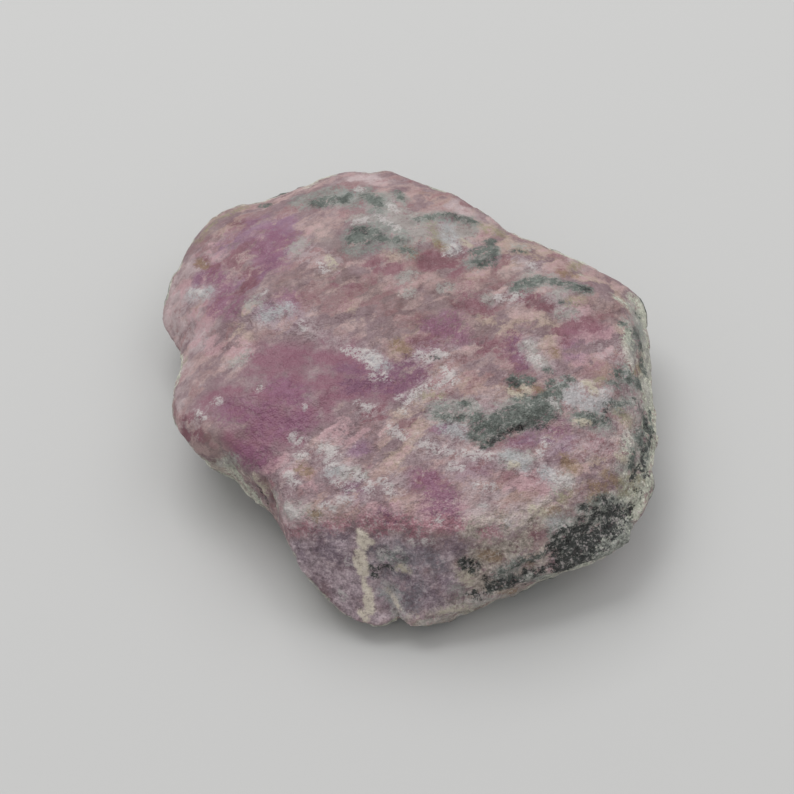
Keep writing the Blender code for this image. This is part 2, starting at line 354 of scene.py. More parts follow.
def stroke_path(pixels):
    """A stroke's path in mm: its straight runs are cut into short steps, and the start of each
    step is sent down its ray. Points beside the stone are left out, and a lone point counts
    twice, as a path without length."""
    path = []
    for (u0, v0), (u1, v1) in zip(pixels, pixels[1:] + pixels[-1:]):
        steps = max(1, round(math.hypot(u1 - u0, v1 - v0) / STROKE_STEP))
        for share in np.arange(steps) / steps:
            path.append(on_stone(u0 + (u1 - u0) * share, v0 + (v1 - v0) * share))
    path = [point for point in path if point is not None]
    return path if len(path) > 1 else path * 2


# %% [markdown]
# ## The minerals
# Thirty kinds of crystal and crust lie over plain ruby, and two kinds of loose grain lie over
# them. A row starts with a mineral's darkest and palest tint as they look on the stone, and the
# light in which they are seen. The top face mirrors a little of the wide light over it, and the
# walls stand in weaker light. Next come the way in mm over which a patch fades at its edge, how
# soft and how frayed that edge is, and how fully the patch covers what lies under it. Last come
# the pattern that frays it, its speckle and the roughness of its surface.

# %% Minerals, from the bottom of the stack to its top
Light = namedtuple("Light", "mirrored brightness")  # in linear values, beside white paper at 1
TOP_LIGHT = Light(mirrored=0.032, brightness=0.97)
WALL_LIGHT = Light(mirrored=0.012, brightness=0.62)
Mineral = namedtuple("Mineral", "dark pale light fade softness fray cover edge speckle roughness")
MINERALS = {
    "grey_mauve": Mineral("#7B6D6C", "#A69997", TOP_LIGHT, 2.0, 0.45, 0.30, 0.80, "cloud", 0.16, 0.60),
    "brown_rose": Mineral("#715B5B", "#998785", TOP_LIGHT, 2.2, 0.45, 0.35, 0.80, "cloud", 0.16, 0.60),
    "tan": Mineral("#9B8778", "#C2B2A4", TOP_LIGHT, 1.3, 0.35, 0.50, 0.90, "cells", 0.18, 0.70),
    "dusty": Mineral("#B29E9F", "#D0C2C2", TOP_LIGHT, 1.8, 0.45, 0.35, 0.90, "cloud", 0.12, 0.60),
    "salmon": Mineral("#A0857C", "#C0AAA2", TOP_LIGHT, 1.5, 0.35, 0.50, 0.90, "cells", 0.18, 0.60),
    "rose": Mineral("#A48186", "#C8A9AD", TOP_LIGHT, 1.5, 0.35, 0.50, 0.92, "cells", 0.16, 0.55),
    "violet": Mineral("#7F5E75", "#A08496", TOP_LIGHT, 1.6, 0.38, 0.40, 0.92, "cells", 0.10, 0.50),
    "crimson": Mineral("#744C55", "#957078", TOP_LIGHT, 1.3, 0.32, 0.50, 0.92, "cells", 0.14, 0.50),
    "parting": Mineral("#845A69", "#946D79", TOP_LIGHT, 1.8, 0.42, 0.40, 0.95, "cloud", 0.06, 0.45),
    "magenta": Mineral("#7A4F63", "#976F84", TOP_LIGHT, 1.6, 0.38, 0.40, 0.92, "veins", 0.10, 0.50),
    "purple": Mineral("#704A60", "#8C6A7C", TOP_LIGHT, 1.4, 0.35, 0.45, 0.92, "veins", 0.10, 0.50),
    "wine": Mineral("#6A464E", "#856268", TOP_LIGHT, 0.9, 0.35, 0.50, 0.85, "grit", 0.16, 0.50),
    "weathered": Mineral("#625259", "#AC9DA3", WALL_LIGHT, 2.0, 0.30, 0.20, 0.95, "cloud", 0.50, 0.65),
    "beige": Mineral("#706861", "#ABA198", WALL_LIGHT, 1.6, 0.32, 0.40, 0.95, "veins", 0.50, 0.70),
    "ridge": Mineral("#6B4650", "#987279", WALL_LIGHT, 0.8, 0.35, 0.80, 0.85, "grit", 0.30, 0.55),
    "rim_rock": Mineral("#7F8277", "#B3B4A6", WALL_LIGHT, 1.2, 0.25, 0.35, 0.97, "veins", 0.55, 0.65),
    "plum": Mineral("#54464F", "#7A6D77", WALL_LIGHT, 1.2, 0.40, 0.45, 0.85, "grit", 0.30, 0.60),
    "slate": Mineral("#4C484E", "#7C777D", WALL_LIGHT, 1.0, 0.35, 0.50, 0.80, "grit", 0.30, 0.60),
    "frost": Mineral("#AB9A9D", "#C6B9BA", TOP_LIGHT, 1.7, 0.30, 0.60, 0.50, "veins", 0.14, 0.60),
    "pale": Mineral("#8F8C88", "#B8B5B0", TOP_LIGHT, 0.9, 0.30, 0.60, 0.75, "grit", 0.20, 0.65),
    "lavender": Mineral("#989A99", "#BDBDBF", TOP_LIGHT, 1.0, 0.35, 0.50, 0.80, "grit", 0.16, 0.55),
    "rust": Mineral("#7A6350", "#A38E78", TOP_LIGHT, 0.7, 0.35, 0.55, 0.80, "grit", 0.20, 0.75),
    "ochre": Mineral("#86806A", "#AAA388", TOP_LIGHT, 0.8, 0.40, 0.55, 0.70, "grit", 0.20, 0.75),
    "pale_zoisite": Mineral("#696F6A", "#A0A5A0", TOP_LIGHT, 1.0, 0.35, 0.60, 0.75, "grit", 0.25, 0.60),
    "zoisite": Mineral("#414744", "#868C86", TOP_LIGHT, 0.8, 0.22, 0.34, 0.97, "veins", 0.50, 0.60),
    "grey_matrix": Mineral("#4A4D48", "#8A8C87", WALL_LIGHT, 1.0, 0.30, 0.40, 0.92, "grit", 0.60, 0.65),
    # Hornblende's dark tint is held at the darkest value. Partly this is painted shade of the hollow's
    # self-shadowed grains.
    "hornblende_and_painted_shade": Mineral("#0C0E0D", "#434644", WALL_LIGHT, 0.7, 0.20, 0.50, 0.97, "veins", 0.90, 0.50),
    "white": Mineral("#B0A8A9", "#D2CECA", TOP_LIGHT, 0.6, 0.32, 0.75, 0.74, "veins", 0.10, 0.55),
    "cream": Mineral("#B3A998", "#C9C1B0", TOP_LIGHT, 0.6, 0.30, 0.45, 0.85, "grit", 0.12, 0.60),
    "ivory": Mineral("#A0978B", "#C2B9AC", WALL_LIGHT, 0.5, 0.18, 0.18, 0.98, "grit", 0.14, 0.70),
    "light_grains": Mineral("#B0A4A5", "#CEC5C3", TOP_LIGHT, 1.0, 0.25, 1.60, 0.38, "specks", 0.10, 0.55),
    "dark_grains": Mineral("#5A454B", "#6E585E", TOP_LIGHT, 1.0, 0.25, 1.60, 0.40, "specks", 0.10, 0.60),
}
print("minerals over plain ruby:", len(MINERALS))

# %% [markdown]
# ## The strokes
# Each patch of mineral that faces the camera is one stroke or a few. A stroke is a half-width and
# the points of its middle line. The strokes are placed one by one, mineral by mineral, from the
# ruby's broad tints to the small pale and dark crystals that lie over them. A few thin lines among
# the hornblende strokes are painted shade, in creases, in a crack and under the zoisite's step. Two
# pale strokes on the front-left shoulder are partly painted light.

# %% Strokes of the ruby's own tints, as (half-width, points) in pixels of the camera's frame
STROKES = {
    "grey_mauve": [
        (10, [(224, 236), (240, 230)]), (10, [(300, 236), (318, 234)]),
        (10, [(466, 232), (484, 230)]), (9, [(412, 276), (430, 272)]),
        (9, [(500, 272), (520, 268)]), (10, [(322, 236), (336, 244)]),
        (9, [(226, 466), (240, 478)]), (9, [(600, 400), (616, 396)]),
    ],
    "brown_rose": [
        (18, [(330, 270), (352, 292), (410, 300)]), (18, [(430, 288), (476, 292), (520, 296)]),
        (14, [(400, 322), (452, 318), (480, 322)]), (12, [(585, 305), (612, 308)]),
        (10, [(282, 284), (298, 274)]), (11, [(212, 438), (238, 434)]),
        (9, [(502, 542), (526, 540)]), (10, [(350, 248), (336, 282)]),
        (10, [(544, 318), (560, 330)]), (10, [(400, 240), (430, 252)]),
        (9, [(470, 268), (500, 278)]), (10, [(400, 262), (440, 278)]),
    ],
    "tan": [
        (8, [(252, 302), (240, 320), (230, 342)]), (8, [(244, 340), (238, 352)]),
        (7, [(394, 352), (408, 338)]), (8, [(400, 415), (418, 425), (410, 445)]),
        (9, [(390, 448), (396, 466)]), (7, [(496, 332), (526, 322)]), (8, [(546, 340), (554, 352)]),
        (7, [(505, 242), (508, 262)]), (8, [(530, 246), (556, 256)]), (8, [(580, 276), (612, 290)]),
        (6, [(464, 380), (468, 394)]), (6, [(504, 386), (506, 398)]), (8, [(566, 455), (572, 468)]),
        (8, [(622, 414), (630, 426)]), (8, [(500, 506), (545, 512)]), (6, [(348, 302), (356, 314)]),
        (6, [(422, 316), (412, 330)]), (7, [(530, 386), (542, 398)]), (7, [(468, 277), (480, 274)]),
        (6, [(420, 402), (424, 410)]), (5, [(388, 252), (394, 256)]), (5, [(414, 260), (418, 264)]),
        (7, [(622, 335), (628, 352)]), (9, [(470, 524), (520, 516)]), (7, [(240, 216), (226, 228)]),
        (9, [(470, 215), (500, 236), (540, 258)]), (9, [(560, 264), (600, 284), (624, 302)]),
        (7, [(540, 318), (556, 336)]), (11, [(590, 454), (612, 470)]),
        (10, [(570, 480), (600, 492)]), (8, [(560, 440), (574, 450)]),
        (8, [(612, 440), (622, 456)]), (8, [(486, 318), (504, 330)]), (8, [(618, 412), (630, 420)]),
        (8, [(616, 352), (628, 360)]), (7, [(640, 352), (646, 372)]), (7, [(642, 312), (646, 330)]),
        (8, [(514, 392), (522, 398)]),
    ],
    "dusty": [
        (15, [(172, 290), (170, 318), (176, 340)]), (8, [(184, 362), (182, 384)]),
        (5, [(178, 410), (180, 418)]), (9, [(186, 268), (178, 284)]), (8, [(196, 345), (206, 330)]),
        (8, [(345, 177), (378, 180)]), (8, [(362, 622), (384, 626)]), (9, [(556, 236), (580, 262)]),
        (8, [(452, 208), (484, 222)]), (9, [(462, 512), (500, 508), (540, 500)]),
        (8, [(466, 530), (512, 526)]), (8, [(196, 318), (208, 304)]), (9, [(204, 262), (192, 276)]),
        # Partly painted light: the first stroke on the next line lightens the front-left shoulder, which
        # the form turns away from the light.
        (9, [(284, 514), (316, 518)]), (7, [(642, 316), (645, 334)]),
    ],
    "salmon": [
        (10, [(320, 505), (350, 506)]), (10, [(466, 384), (490, 390)]),
        (12, [(510, 492), (545, 495)]), (8, [(595, 362), (606, 370)]),
        (8, [(420, 196), (446, 202)]), (8, [(375, 470), (392, 466)]), (6, [(301, 468), (307, 473)]),
        (10, [(395, 500), (410, 506)]), (8, [(430, 380), (450, 370)]),
        (9, [(198, 312), (232, 314)]),
    ],
    "rose": [
        (11, [(200, 308), (210, 316)]), (9, [(200, 338), (216, 345)]),
        (9, [(352, 440), (366, 430)]), (9, [(308, 476), (316, 490)]), (9, [(272, 472), (284, 465)]),
        (8, [(280, 500), (286, 508)]), (9, [(596, 340), (606, 350)]),
        (12, [(430, 515), (460, 520)]), (12, [(515, 478), (545, 486)]),
        (8, [(592, 440), (606, 446)]), (9, [(200, 256), (212, 249)]), (9, [(368, 505), (390, 512)]),
        (9, [(330, 430), (350, 424)]), (8, [(576, 300), (590, 330)]),
        (10, [(575, 350), (585, 362)]), (12, [(590, 338), (604, 336)]),
        (9, [(204, 262), (220, 256)]), (8, [(196, 318), (206, 326)]), (8, [(232, 345), (244, 350)]),
        (9, [(186, 288), (196, 302)]), (9, [(206, 268), (196, 282)]),
        (10, [(570, 344), (604, 346)]), (8, [(284, 524), (316, 526)]),
        (10, [(192, 296), (206, 330)]),
    ],
    "violet": [
        (14, [(254, 226), (282, 226), (290, 240)]), (11, [(222, 246), (246, 234)]),
        (9, [(204, 280), (214, 272)]), (10, [(276, 252), (262, 270)]),
        (9, [(240, 282), (256, 276)]), (9, [(516, 440), (540, 436)]), (9, [(552, 448), (560, 452)]),
        (7, [(355, 452), (364, 456)]), (6, [(440, 428), (446, 430)]), (7, [(572, 347), (577, 354)]),
        (5, [(353, 493), (357, 487)]), (8, [(280, 248), (296, 243)]), (8, [(263, 306), (288, 318)]),
        (9, [(546, 434), (562, 440)]),
    ],
    "crimson": [
        (7, [(480, 345), (500, 350)]), (6, [(518, 348), (521, 362)]), (8, [(235, 262), (246, 252)]),
        (9, [(250, 270), (250, 288), (240, 296)]), (6, [(257, 247), (246, 254)]),
        (6, [(203, 262), (212, 268)]), (7, [(186, 432), (196, 436)]), (6, [(562, 320), (566, 340)]),
        (6, [(338, 279), (346, 281)]), (5, [(372, 264), (378, 266)]), (5, [(388, 267), (394, 269)]),
        (8, [(400, 386), (420, 378)]), (7, [(366, 414), (384, 410)]), (6, [(414, 470), (430, 476)]),
        (10, [(432, 262), (452, 268)]), (11, [(468, 298), (484, 308)]),
        (10, [(520, 292), (546, 302)]), (8, [(436, 342), (448, 338)]),
        (6, [(186, 420), (190, 432)]), (7, [(566, 322), (590, 326)]), (6, [(513, 346), (520, 362)]),
    ],
    "parting": [
        (14, [(264, 358), (340, 358)]), (14, [(255, 378), (345, 380)]),
        (12, [(222, 392), (300, 396)]), (10, [(206, 404), (240, 412)]),
        (12, [(262, 420), (325, 408)]), (12, [(250, 440), (290, 436)]),
        (9, [(262, 456), (276, 450)]), (11, [(345, 356), (378, 372)]),
        (9, [(378, 366), (392, 388)]), (12, [(340, 392), (376, 388)]),
        (8, [(330, 344), (350, 348)]), (7, [(230, 436), (248, 450)]), (6, [(574, 332), (602, 335)]),
    ],
    "magenta": [
        (12, [(280, 388), (296, 398)]), (12, [(232, 412), (262, 412)]),
        (12, [(262, 428), (300, 420)]), (11, [(245, 452), (260, 458)]),
        (12, [(262, 246), (276, 262)]), (11, [(210, 276), (222, 290), (220, 306)]),
        (8, [(270, 232), (284, 244)]), (14, [(425, 480), (445, 500)]),
        (8, [(465, 474), (480, 468)]), (10, [(436, 508), (452, 512)]),
        (9, [(452, 318), (458, 336)]), (8, [(288, 300), (294, 310)]), (6, [(553, 433), (560, 430)]),
        (7, [(376, 580), (387, 588)]), (6, [(240, 300), (232, 312)]), (9, [(432, 326), (450, 330)]),
        (9, [(416, 350), (436, 346)]),
    ],
    "purple": [
        (10, [(352, 385), (398, 382)]), (8, [(392, 368), (400, 392)]),
        (7, [(346, 368), (360, 372)]), (6, [(404, 376), (420, 378)]), (5, [(384, 514), (391, 519)]),
        (7, [(515, 340), (520, 352)]), (6, [(262, 270), (270, 264)]), (7, [(516, 350), (524, 362)]),
        (6, [(408, 362), (420, 368)]),
    ],
    "wine": [
        (7, [(427, 262), (434, 266), (446, 260), (462, 256)]), (6, [(457, 302), (466, 306)]),
        (8, [(534, 303), (550, 306)]), (5, [(415, 341), (427, 343)]), (5, [(454, 435), (464, 436)]),
        (4, [(532, 475), (542, 475)]), (3, [(475, 403), (489, 404)]), (4, [(443, 394), (447, 394)]),
        (3, [(434, 400), (446, 400)]), (5, [(294, 561), (303, 568)]), (4, [(317, 573), (324, 579)]),
        (4, [(329, 593), (334, 598)]), (4, [(344, 610), (349, 614)]), (3, [(475, 466), (485, 463)]),
        (5, [(409, 526), (413, 531)]), (4, [(368, 522), (378, 530)]), (3, [(446, 521), (454, 524)]),
        (4, [(233, 222), (239, 222)]), (4, [(199, 262), (205, 266)]), (4, [(530, 528), (538, 534)]),
        (4, [(368, 524), (374, 528)]), (4, [(388, 521), (398, 525)]), (3, [(380, 530), (386, 532)]),
    ],
    "weathered": [
        (18, [(308, 552), (340, 590)]), (16, [(316, 548), (352, 560), (352, 600)]),
        (18, [(386, 556), (396, 606)]), (18, [(414, 560), (430, 600)]),
        (14, [(444, 558), (448, 590)]), (12, [(296, 548), (300, 566)]),
        (10, [(350, 614), (376, 618)]), (10, [(340, 544), (400, 546)]),
    ],
    "beige": [
        (16, [(470, 566), (486, 590)]), (14, [(480, 552), (520, 548)]),
        (14, [(500, 566), (534, 560)]), (12, [(456, 604), (500, 598)]),
        (10, [(440, 614), (470, 610)]), (12, [(236, 476), (254, 500)]),
        (12, [(215, 466), (240, 486)]), (12, [(634, 500), (612, 526)]),
        (24, [(440, 622), (480, 610), (524, 594), (556, 580)]), (10, [(404, 622), (430, 626)]),
        (10, [(500, 592), (536, 588)]), (9, [(470, 530), (520, 524)]),
        (9, [(530, 520), (556, 512)]),
    ],
    "ridge": [
        (6, [(286, 532), (300, 528)]), (5, [(306, 530), (322, 527)]), (6, [(330, 528), (344, 525)]),
        (7, [(364, 521), (382, 529)]), (7, [(404, 522), (420, 531)]), (6, [(441, 521), (457, 527)]),
        (4, [(484, 534), (500, 530)]), (5, [(386, 526), (402, 520)]), (4, [(424, 526), (438, 522)]),
    ],
    "rim_rock": [
        (14, [(640, 306), (646, 350), (649, 392)]), (15, [(650, 400), (650, 450)]),
        (15, [(646, 456), (642, 488)]), (14, [(638, 494), (628, 516)]),
        (8, [(628, 330), (632, 376)]), (18, [(560, 578), (596, 560), (628, 532)]),
        (9, [(630, 440), (626, 474)]), (8, [(612, 500), (590, 518)]), (6, [(620, 300), (630, 306)]),
        (7, [(226, 462), (252, 492), (268, 516)]), (9, [(640, 372), (645, 402)]),
        (9, [(636, 480), (616, 508)]),
    ],
    "plum": [
        (10, [(324, 550), (344, 560)]), (6, [(332, 537), (345, 538)]),
        (6, [(320, 535), (334, 537)]), (4, [(298, 546), (302, 558)]), (9, [(432, 598), (442, 606)]),
        (8, [(441, 574), (451, 586)]), (6, [(419, 550), (425, 558)]), (7, [(451, 542), (461, 550)]),
        (6, [(394, 606), (410, 600)]), (6, [(300, 572), (312, 582)]), (6, [(404, 580), (414, 586)]),
    ],
    "slate": [
        (8, [(370, 550), (384, 556)]), (7, [(371, 568), (378, 576)]), (8, [(379, 562), (391, 570)]),
        (6, [(386, 554), (398, 560)]), (5, [(396, 573), (402, 575)]),
        (10, [(400, 550), (414, 566)]), (9, [(418, 588), (410, 606)]),
        (8, [(384, 588), (398, 596)]), (9, [(428, 556), (438, 566)]), (9, [(378, 552), (404, 556)]),
        (8, [(380, 572), (402, 570)]),
    ],
}
print("strokes of the ruby's own tints:", sum(len(strokes) for strokes in STROKES.values()))

# %% Strokes of the crystals that grew with the ruby, and a few lines of painted shade
STROKES.update({
    "frost": [
        (10, [(262, 316), (300, 318)]), (7, [(300, 325), (345, 346)]),
        (10, [(352, 352), (382, 372)]), (9, [(420, 356), (450, 354)]),
        (9, [(412, 398), (450, 374)]), (6, [(360, 404), (372, 408)]),
        (10, [(290, 478), (302, 448)]), (12, [(325, 450), (345, 475)]),
        (10, [(345, 475), (368, 488)]), (7, [(330, 505), (350, 498)]),
        (12, [(425, 445), (480, 456)]), (10, [(478, 486), (455, 466)]),
        (10, [(505, 458), (530, 460)]), (10, [(545, 474), (570, 484)]),
        (9, [(530, 345), (545, 366)]), (12, [(570, 396), (600, 396)]),
        (10, [(440, 410), (500, 405)]), (9, [(190, 296), (206, 294)]),
        (9, [(178, 320), (200, 340)]), (7, [(236, 362), (246, 354)]), (7, [(198, 415), (215, 402)]),
        (9, [(300, 252), (330, 262)]), (12, [(384, 208), (388, 232)]),
        (10, [(440, 232), (468, 246)]), (7, [(520, 262), (536, 268)]),
        (7, [(500, 296), (516, 298)]), (7, [(555, 296), (572, 312)]), (9, [(600, 345), (630, 360)]),
        (9, [(630, 400), (625, 430)]), (9, [(600, 448), (612, 440)]), (9, [(620, 465), (610, 480)]),
        (10, [(600, 500), (560, 520)]), (9, [(385, 488), (395, 484)]),
        (7, [(285, 505), (295, 518)]), (6, [(500, 522), (540, 510)]), (7, [(380, 560), (376, 584)]),
        # Partly painted light: the last stroke on the next line lightens the front-left shoulder,
        # together with the dusty stroke there.
        (9, [(440, 614), (500, 596)]), (7, [(504, 570), (540, 556)]), (8, [(290, 522), (312, 524)]),
        (9, [(552, 446), (588, 448)]),
    ],
    "pale": [
        (8, [(355, 221), (378, 216), (402, 231)]), (12, [(384, 222), (428, 226)]),
        (7, [(336, 202), (346, 196)]), (7, [(384, 196), (391, 198)]), (5, [(375, 212), (380, 210)]),
        (7, [(293, 251), (302, 243)]), (7, [(251, 303), (257, 300)]), (5, [(236, 363), (246, 355)]),
        (6, [(402, 280), (411, 274)]), (7, [(444, 236), (453, 230)]), (5, [(470, 233), (477, 227)]),
        (5, [(514, 247), (526, 247)]), (8, [(526, 284), (532, 276)]), (5, [(546, 281), (554, 277)]),
        (5, [(556, 296), (560, 292)]), (6, [(562, 314), (573, 311)]), (5, [(444, 288), (448, 288)]),
        (5, [(485, 298), (488, 298)]), (5, [(406, 292), (411, 292)]), (7, [(640, 330), (645, 350)]),
        (7, [(628, 323), (639, 322)]), (6, [(632, 448), (638, 434)]), (7, [(620, 468), (628, 464)]),
        (7, [(528, 346), (534, 358), (543, 366)]), (7, [(500, 406), (511, 404)]),
        (6, [(491, 416), (499, 412)]), (7, [(438, 404), (452, 402), (472, 405)]),
        (6, [(434, 416), (440, 421)]), (7, [(614, 410), (621, 404)]), (6, [(600, 430), (610, 428)]),
        (8, [(508, 460), (526, 458)]), (6, [(606, 508), (598, 522)]), (6, [(592, 516), (616, 502)]),
        (6, [(344, 474), (362, 474)]), (5, [(222, 464), (235, 458)]), (6, [(500, 572), (514, 566)]),
        (6, [(456, 588), (462, 592)]), (5, [(426, 624), (450, 618)]), (6, [(450, 612), (470, 606)]),
        (6, [(476, 602), (518, 592)]), (6, [(550, 522), (564, 522)]), (7, [(566, 478), (556, 488)]),
        (7, [(622, 484), (638, 480)]), (5, [(276, 494), (278, 510)]), (5, [(388, 588), (400, 616)]),
        (11, [(402, 232), (440, 236), (464, 232)]), (9, [(384, 208), (412, 218)]),
        (6, [(634, 418), (636, 444)]), (6, [(646, 384), (648, 400)]), (5, [(630, 350), (634, 362)]),
        (7, [(636, 314), (642, 330)]), (6, [(646, 350), (648, 372)]), (7, [(634, 392), (642, 406)]),
        (6, [(636, 440), (638, 460)]), (8, [(632, 308), (640, 328)]), (6, [(286, 509), (316, 513)]),
        (6, [(632, 400), (638, 418)]),
    ],
    "lavender": [
        (12, [(568, 396), (584, 402)]), (10, [(590, 410), (604, 400)]),
        (8, [(566, 386), (574, 388)]), (7, [(332, 474), (339, 470)]), (7, [(372, 358), (381, 366)]),
        (7, [(446, 226), (452, 248)]), (6, [(546, 472), (551, 476)]), (8, [(508, 456), (524, 464)]),
        (6, [(626, 374), (629, 377)]), (7, [(556, 522), (562, 526)]), (7, [(448, 428), (464, 434)]),
        (6, [(191, 294), (207, 293)]), (7, [(388, 590), (398, 598)]), (6, [(264, 316), (288, 308)]),
        (6, [(344, 194), (350, 196)]),
    ],
    "rust": [
        (4, [(514, 389), (522, 390)]), (5, [(606, 474), (616, 482)]), (4, [(591, 486), (607, 486)]),
        (5, [(483, 555), (497, 557)]), (4, [(546, 510), (556, 511)]), (4, [(198, 262), (205, 266)]),
        (3, [(555, 351), (556, 354)]), (4, [(503, 592), (524, 591)]), (4, [(561, 273), (574, 275)]),
        (4, [(313, 514), (317, 516)]), (4, [(404, 249), (414, 254)]), (3, [(522, 562), (530, 564)]),
        (3, [(437, 243), (444, 248)]), (4, [(640, 368), (634, 374)]), (6, [(564, 458), (574, 468)]),
        (5, [(590, 500), (604, 494)]), (5, [(300, 467), (308, 474)]), (5, [(536, 388), (546, 396)]),
        (6, [(396, 344), (406, 350)]),
    ],
    "ochre": [
        (3, [(438, 244), (444, 247)]), (5, [(571, 303), (579, 299)]), (5, [(561, 498), (569, 494)]),
        (2, [(517, 251), (524, 251)]), (5, [(486, 228), (502, 234)]), (4, [(571, 268), (579, 262)]),
        (3, [(598, 381), (602, 379)]), (4, [(216, 219), (244, 207)]), (3, [(179, 357), (185, 361)]),
        (3, [(198, 240), (216, 220)]), (3, [(420, 395), (440, 395)]), (5, [(622, 482), (640, 478)]),
        (3, [(431, 224), (433, 236)]), (4, [(622, 492), (635, 488)]), (5, [(620, 414), (629, 422)]),
    ],
    "pale_zoisite": [
        (11, [(306, 202), (330, 192), (352, 196)]), (9, [(364, 192), (378, 202)]),
        (8, [(374, 208), (380, 212)]), (14, [(356, 236), (376, 232), (396, 240)]),
        (9, [(352, 250), (372, 246)]), (6, [(402, 249), (413, 253)]), (6, [(398, 194), (402, 201)]),
        (7, [(418, 220), (448, 217), (472, 222)]), (9, [(474, 264), (492, 252)]),
        (7, [(516, 290), (544, 282)]), (6, [(556, 284), (584, 290)]), (6, [(618, 374), (624, 370)]),
        (6, [(612, 384), (638, 382)]), (7, [(638, 440), (646, 454)]), (7, [(480, 422), (500, 428)]),
        (9, [(484, 438), (520, 420)]), (10, [(520, 404), (550, 408)]),
        (6, [(550, 396), (560, 384)]), (10, [(440, 411), (472, 412)]),
        (8, [(578, 418), (602, 420)]), (6, [(620, 406), (628, 402)]), (8, [(498, 576), (514, 566)]),
        (7, [(590, 524), (612, 504)]), (6, [(386, 556), (398, 560)]), (8, [(640, 330), (634, 346)]),
        (13, [(302, 200), (332, 196), (356, 200)]), (11, [(366, 197), (384, 206)]),
    ],
    "zoisite": [
        (7, [(316, 204), (328, 202)]), (6, [(331, 201), (346, 199)]), (3, [(261, 205), (271, 204)]),
        (6, [(366, 196), (378, 204)]), (3, [(399, 193), (401, 200)]), (6, [(356, 232), (366, 231)]),
        (7, [(354, 240), (366, 238)]), (5, [(370, 232), (384, 240)]), (3, [(386, 240), (399, 241)]),
        (3, [(404, 250), (412, 252)]), (3, [(418, 219), (446, 215), (472, 221)]),
        (6, [(490, 242), (494, 256)]), (6, [(478, 252), (489, 250)]), (3, [(471, 254), (479, 253)]),
        (6, [(477, 264), (491, 262)]), (2, [(515, 251), (525, 251)]), (6, [(515, 287), (540, 280)]),
        (5, [(556, 283), (573, 286)]), (5, [(575, 288), (588, 290)]), (2, [(562, 303), (567, 303)]),
        (5, [(635, 332), (640, 347)]), (3, [(622, 324), (626, 327)]), (2, [(636, 314), (640, 317)]),
        (3, [(612, 382), (617, 384)]), (3, [(629, 380), (639, 386)]), (4, [(637, 438), (643, 454)]),
        (9, [(478, 420), (486, 428)]), (8, [(476, 436), (484, 442)]), (6, [(516, 398), (529, 398)]),
        (6, [(532, 404), (546, 402)]), (8, [(530, 421), (545, 417)]), (5, [(551, 384), (557, 396)]),
        (3, [(546, 370), (551, 372)]), (3, [(566, 378), (572, 380)]), (3, [(560, 385), (564, 387)]),
        (3, [(557, 401), (559, 410)]), (3, [(438, 417), (450, 420), (461, 418)]),
        (4, [(578, 416), (600, 422)]), (3, [(606, 407), (612, 403)]), (3, [(619, 405), (627, 402)]),
        (5, [(498, 574), (512, 566)]), (4, [(520, 562), (544, 554)]), (4, [(598, 500), (612, 506)]),
        (5, [(487, 590), (526, 576)]), (3, [(650, 410), (652, 436)]), (4, [(458, 402), (467, 403)]),
        (3, [(640, 430), (645, 444)]), (3, [(646, 452), (642, 474)]), (3, [(634, 400), (640, 410)]),
        (4, [(634, 452), (630, 468)]), (4, [(640, 356), (644, 372)]),
        (12, [(482, 432), (498, 426)]), (11, [(502, 420), (524, 412)]),
        (11, [(530, 413), (548, 409)]), (9, [(542, 402), (553, 394)]),
        (7, [(512, 380), (528, 382)]), (6, [(580, 418), (604, 420)]), (7, [(467, 563), (472, 568)]),
        (5, [(643, 414), (649, 432), (646, 450)]), (4, [(634, 334), (638, 344)]),
        (6, [(617, 374), (624, 376)]), (6, [(632, 378), (638, 384)]), (8, [(358, 236), (370, 236)]),
        (6, [(372, 198), (380, 206)]),
    ],
    "grey_matrix": [
        (14, [(562, 538), (578, 560)]), (16, [(584, 536), (600, 550)]),
        (14, [(604, 520), (618, 530)]), (12, [(600, 562), (626, 530)]),
        (9, [(530, 580), (556, 576)]), (8, [(556, 534), (572, 526)]), (8, [(606, 510), (622, 508)]),
        (8, [(584, 510), (604, 502)]),
    ],
    # Dark hornblende in the hollow and along the right rim. Some thin lines below are not mineral but
    # painted shade in its black.
    "hornblende_and_painted_shade": [
        # Painted shade: the two strokes on the next line draw the black line along the hollow's upper
        # edge, under the undercut.
        (5, [(551, 547), (558, 536), (566, 529)]), (4, [(566, 529), (577, 527), (596, 529)]),
        (9, [(556, 548), (572, 540)]), (9, [(562, 560), (586, 548)]), (9, [(580, 558), (600, 544)]),
        (8, [(596, 536), (612, 524)]), (6, [(604, 514), (616, 510)]), (5, [(608, 536), (620, 526)]),
        (6, [(576, 570), (598, 560)]), (5, [(586, 562), (598, 552)]), (6, [(553, 568), (572, 566)]),
        (3, [(614, 514), (618, 518)]), (6, [(606, 520), (620, 512)]), (3, [(625, 510), (630, 516)]),
        (4, [(604, 500), (607, 503)]), (3, [(597, 510), (600, 513)]), (3, [(583, 508), (586, 510)]),
        (3, [(579, 519), (584, 521)]), (4, [(520, 580), (536, 572)]), (4, [(526, 572), (545, 572)]),
        (4, [(489, 588), (503, 584)]), (4, [(508, 584), (515, 581)]), (6, [(466, 563), (472, 568)]),
        (2, [(484, 577), (487, 579)]), (3, [(468, 595), (479, 595)]), (3, [(526, 584), (556, 576)]),
        # Painted shade: the strokes on the next line draw a thin dark line in the open crack in the left
        # wall.
        (3, [(260, 489), (264, 497)]), (1, [(266, 501), (272, 527)]),
        # Painted shadow: the three 1-pixel strokes from (481, 448) to (550, 430) draw the thin black line
        # under the step below the zoisite.
        (1, [(481, 448), (490, 444), (500, 436)]), (1, [(500, 436), (512, 430), (525, 427)]),
        (1, [(525, 427), (538, 428), (550, 430)]), (2, [(638, 467), (647, 475)]),
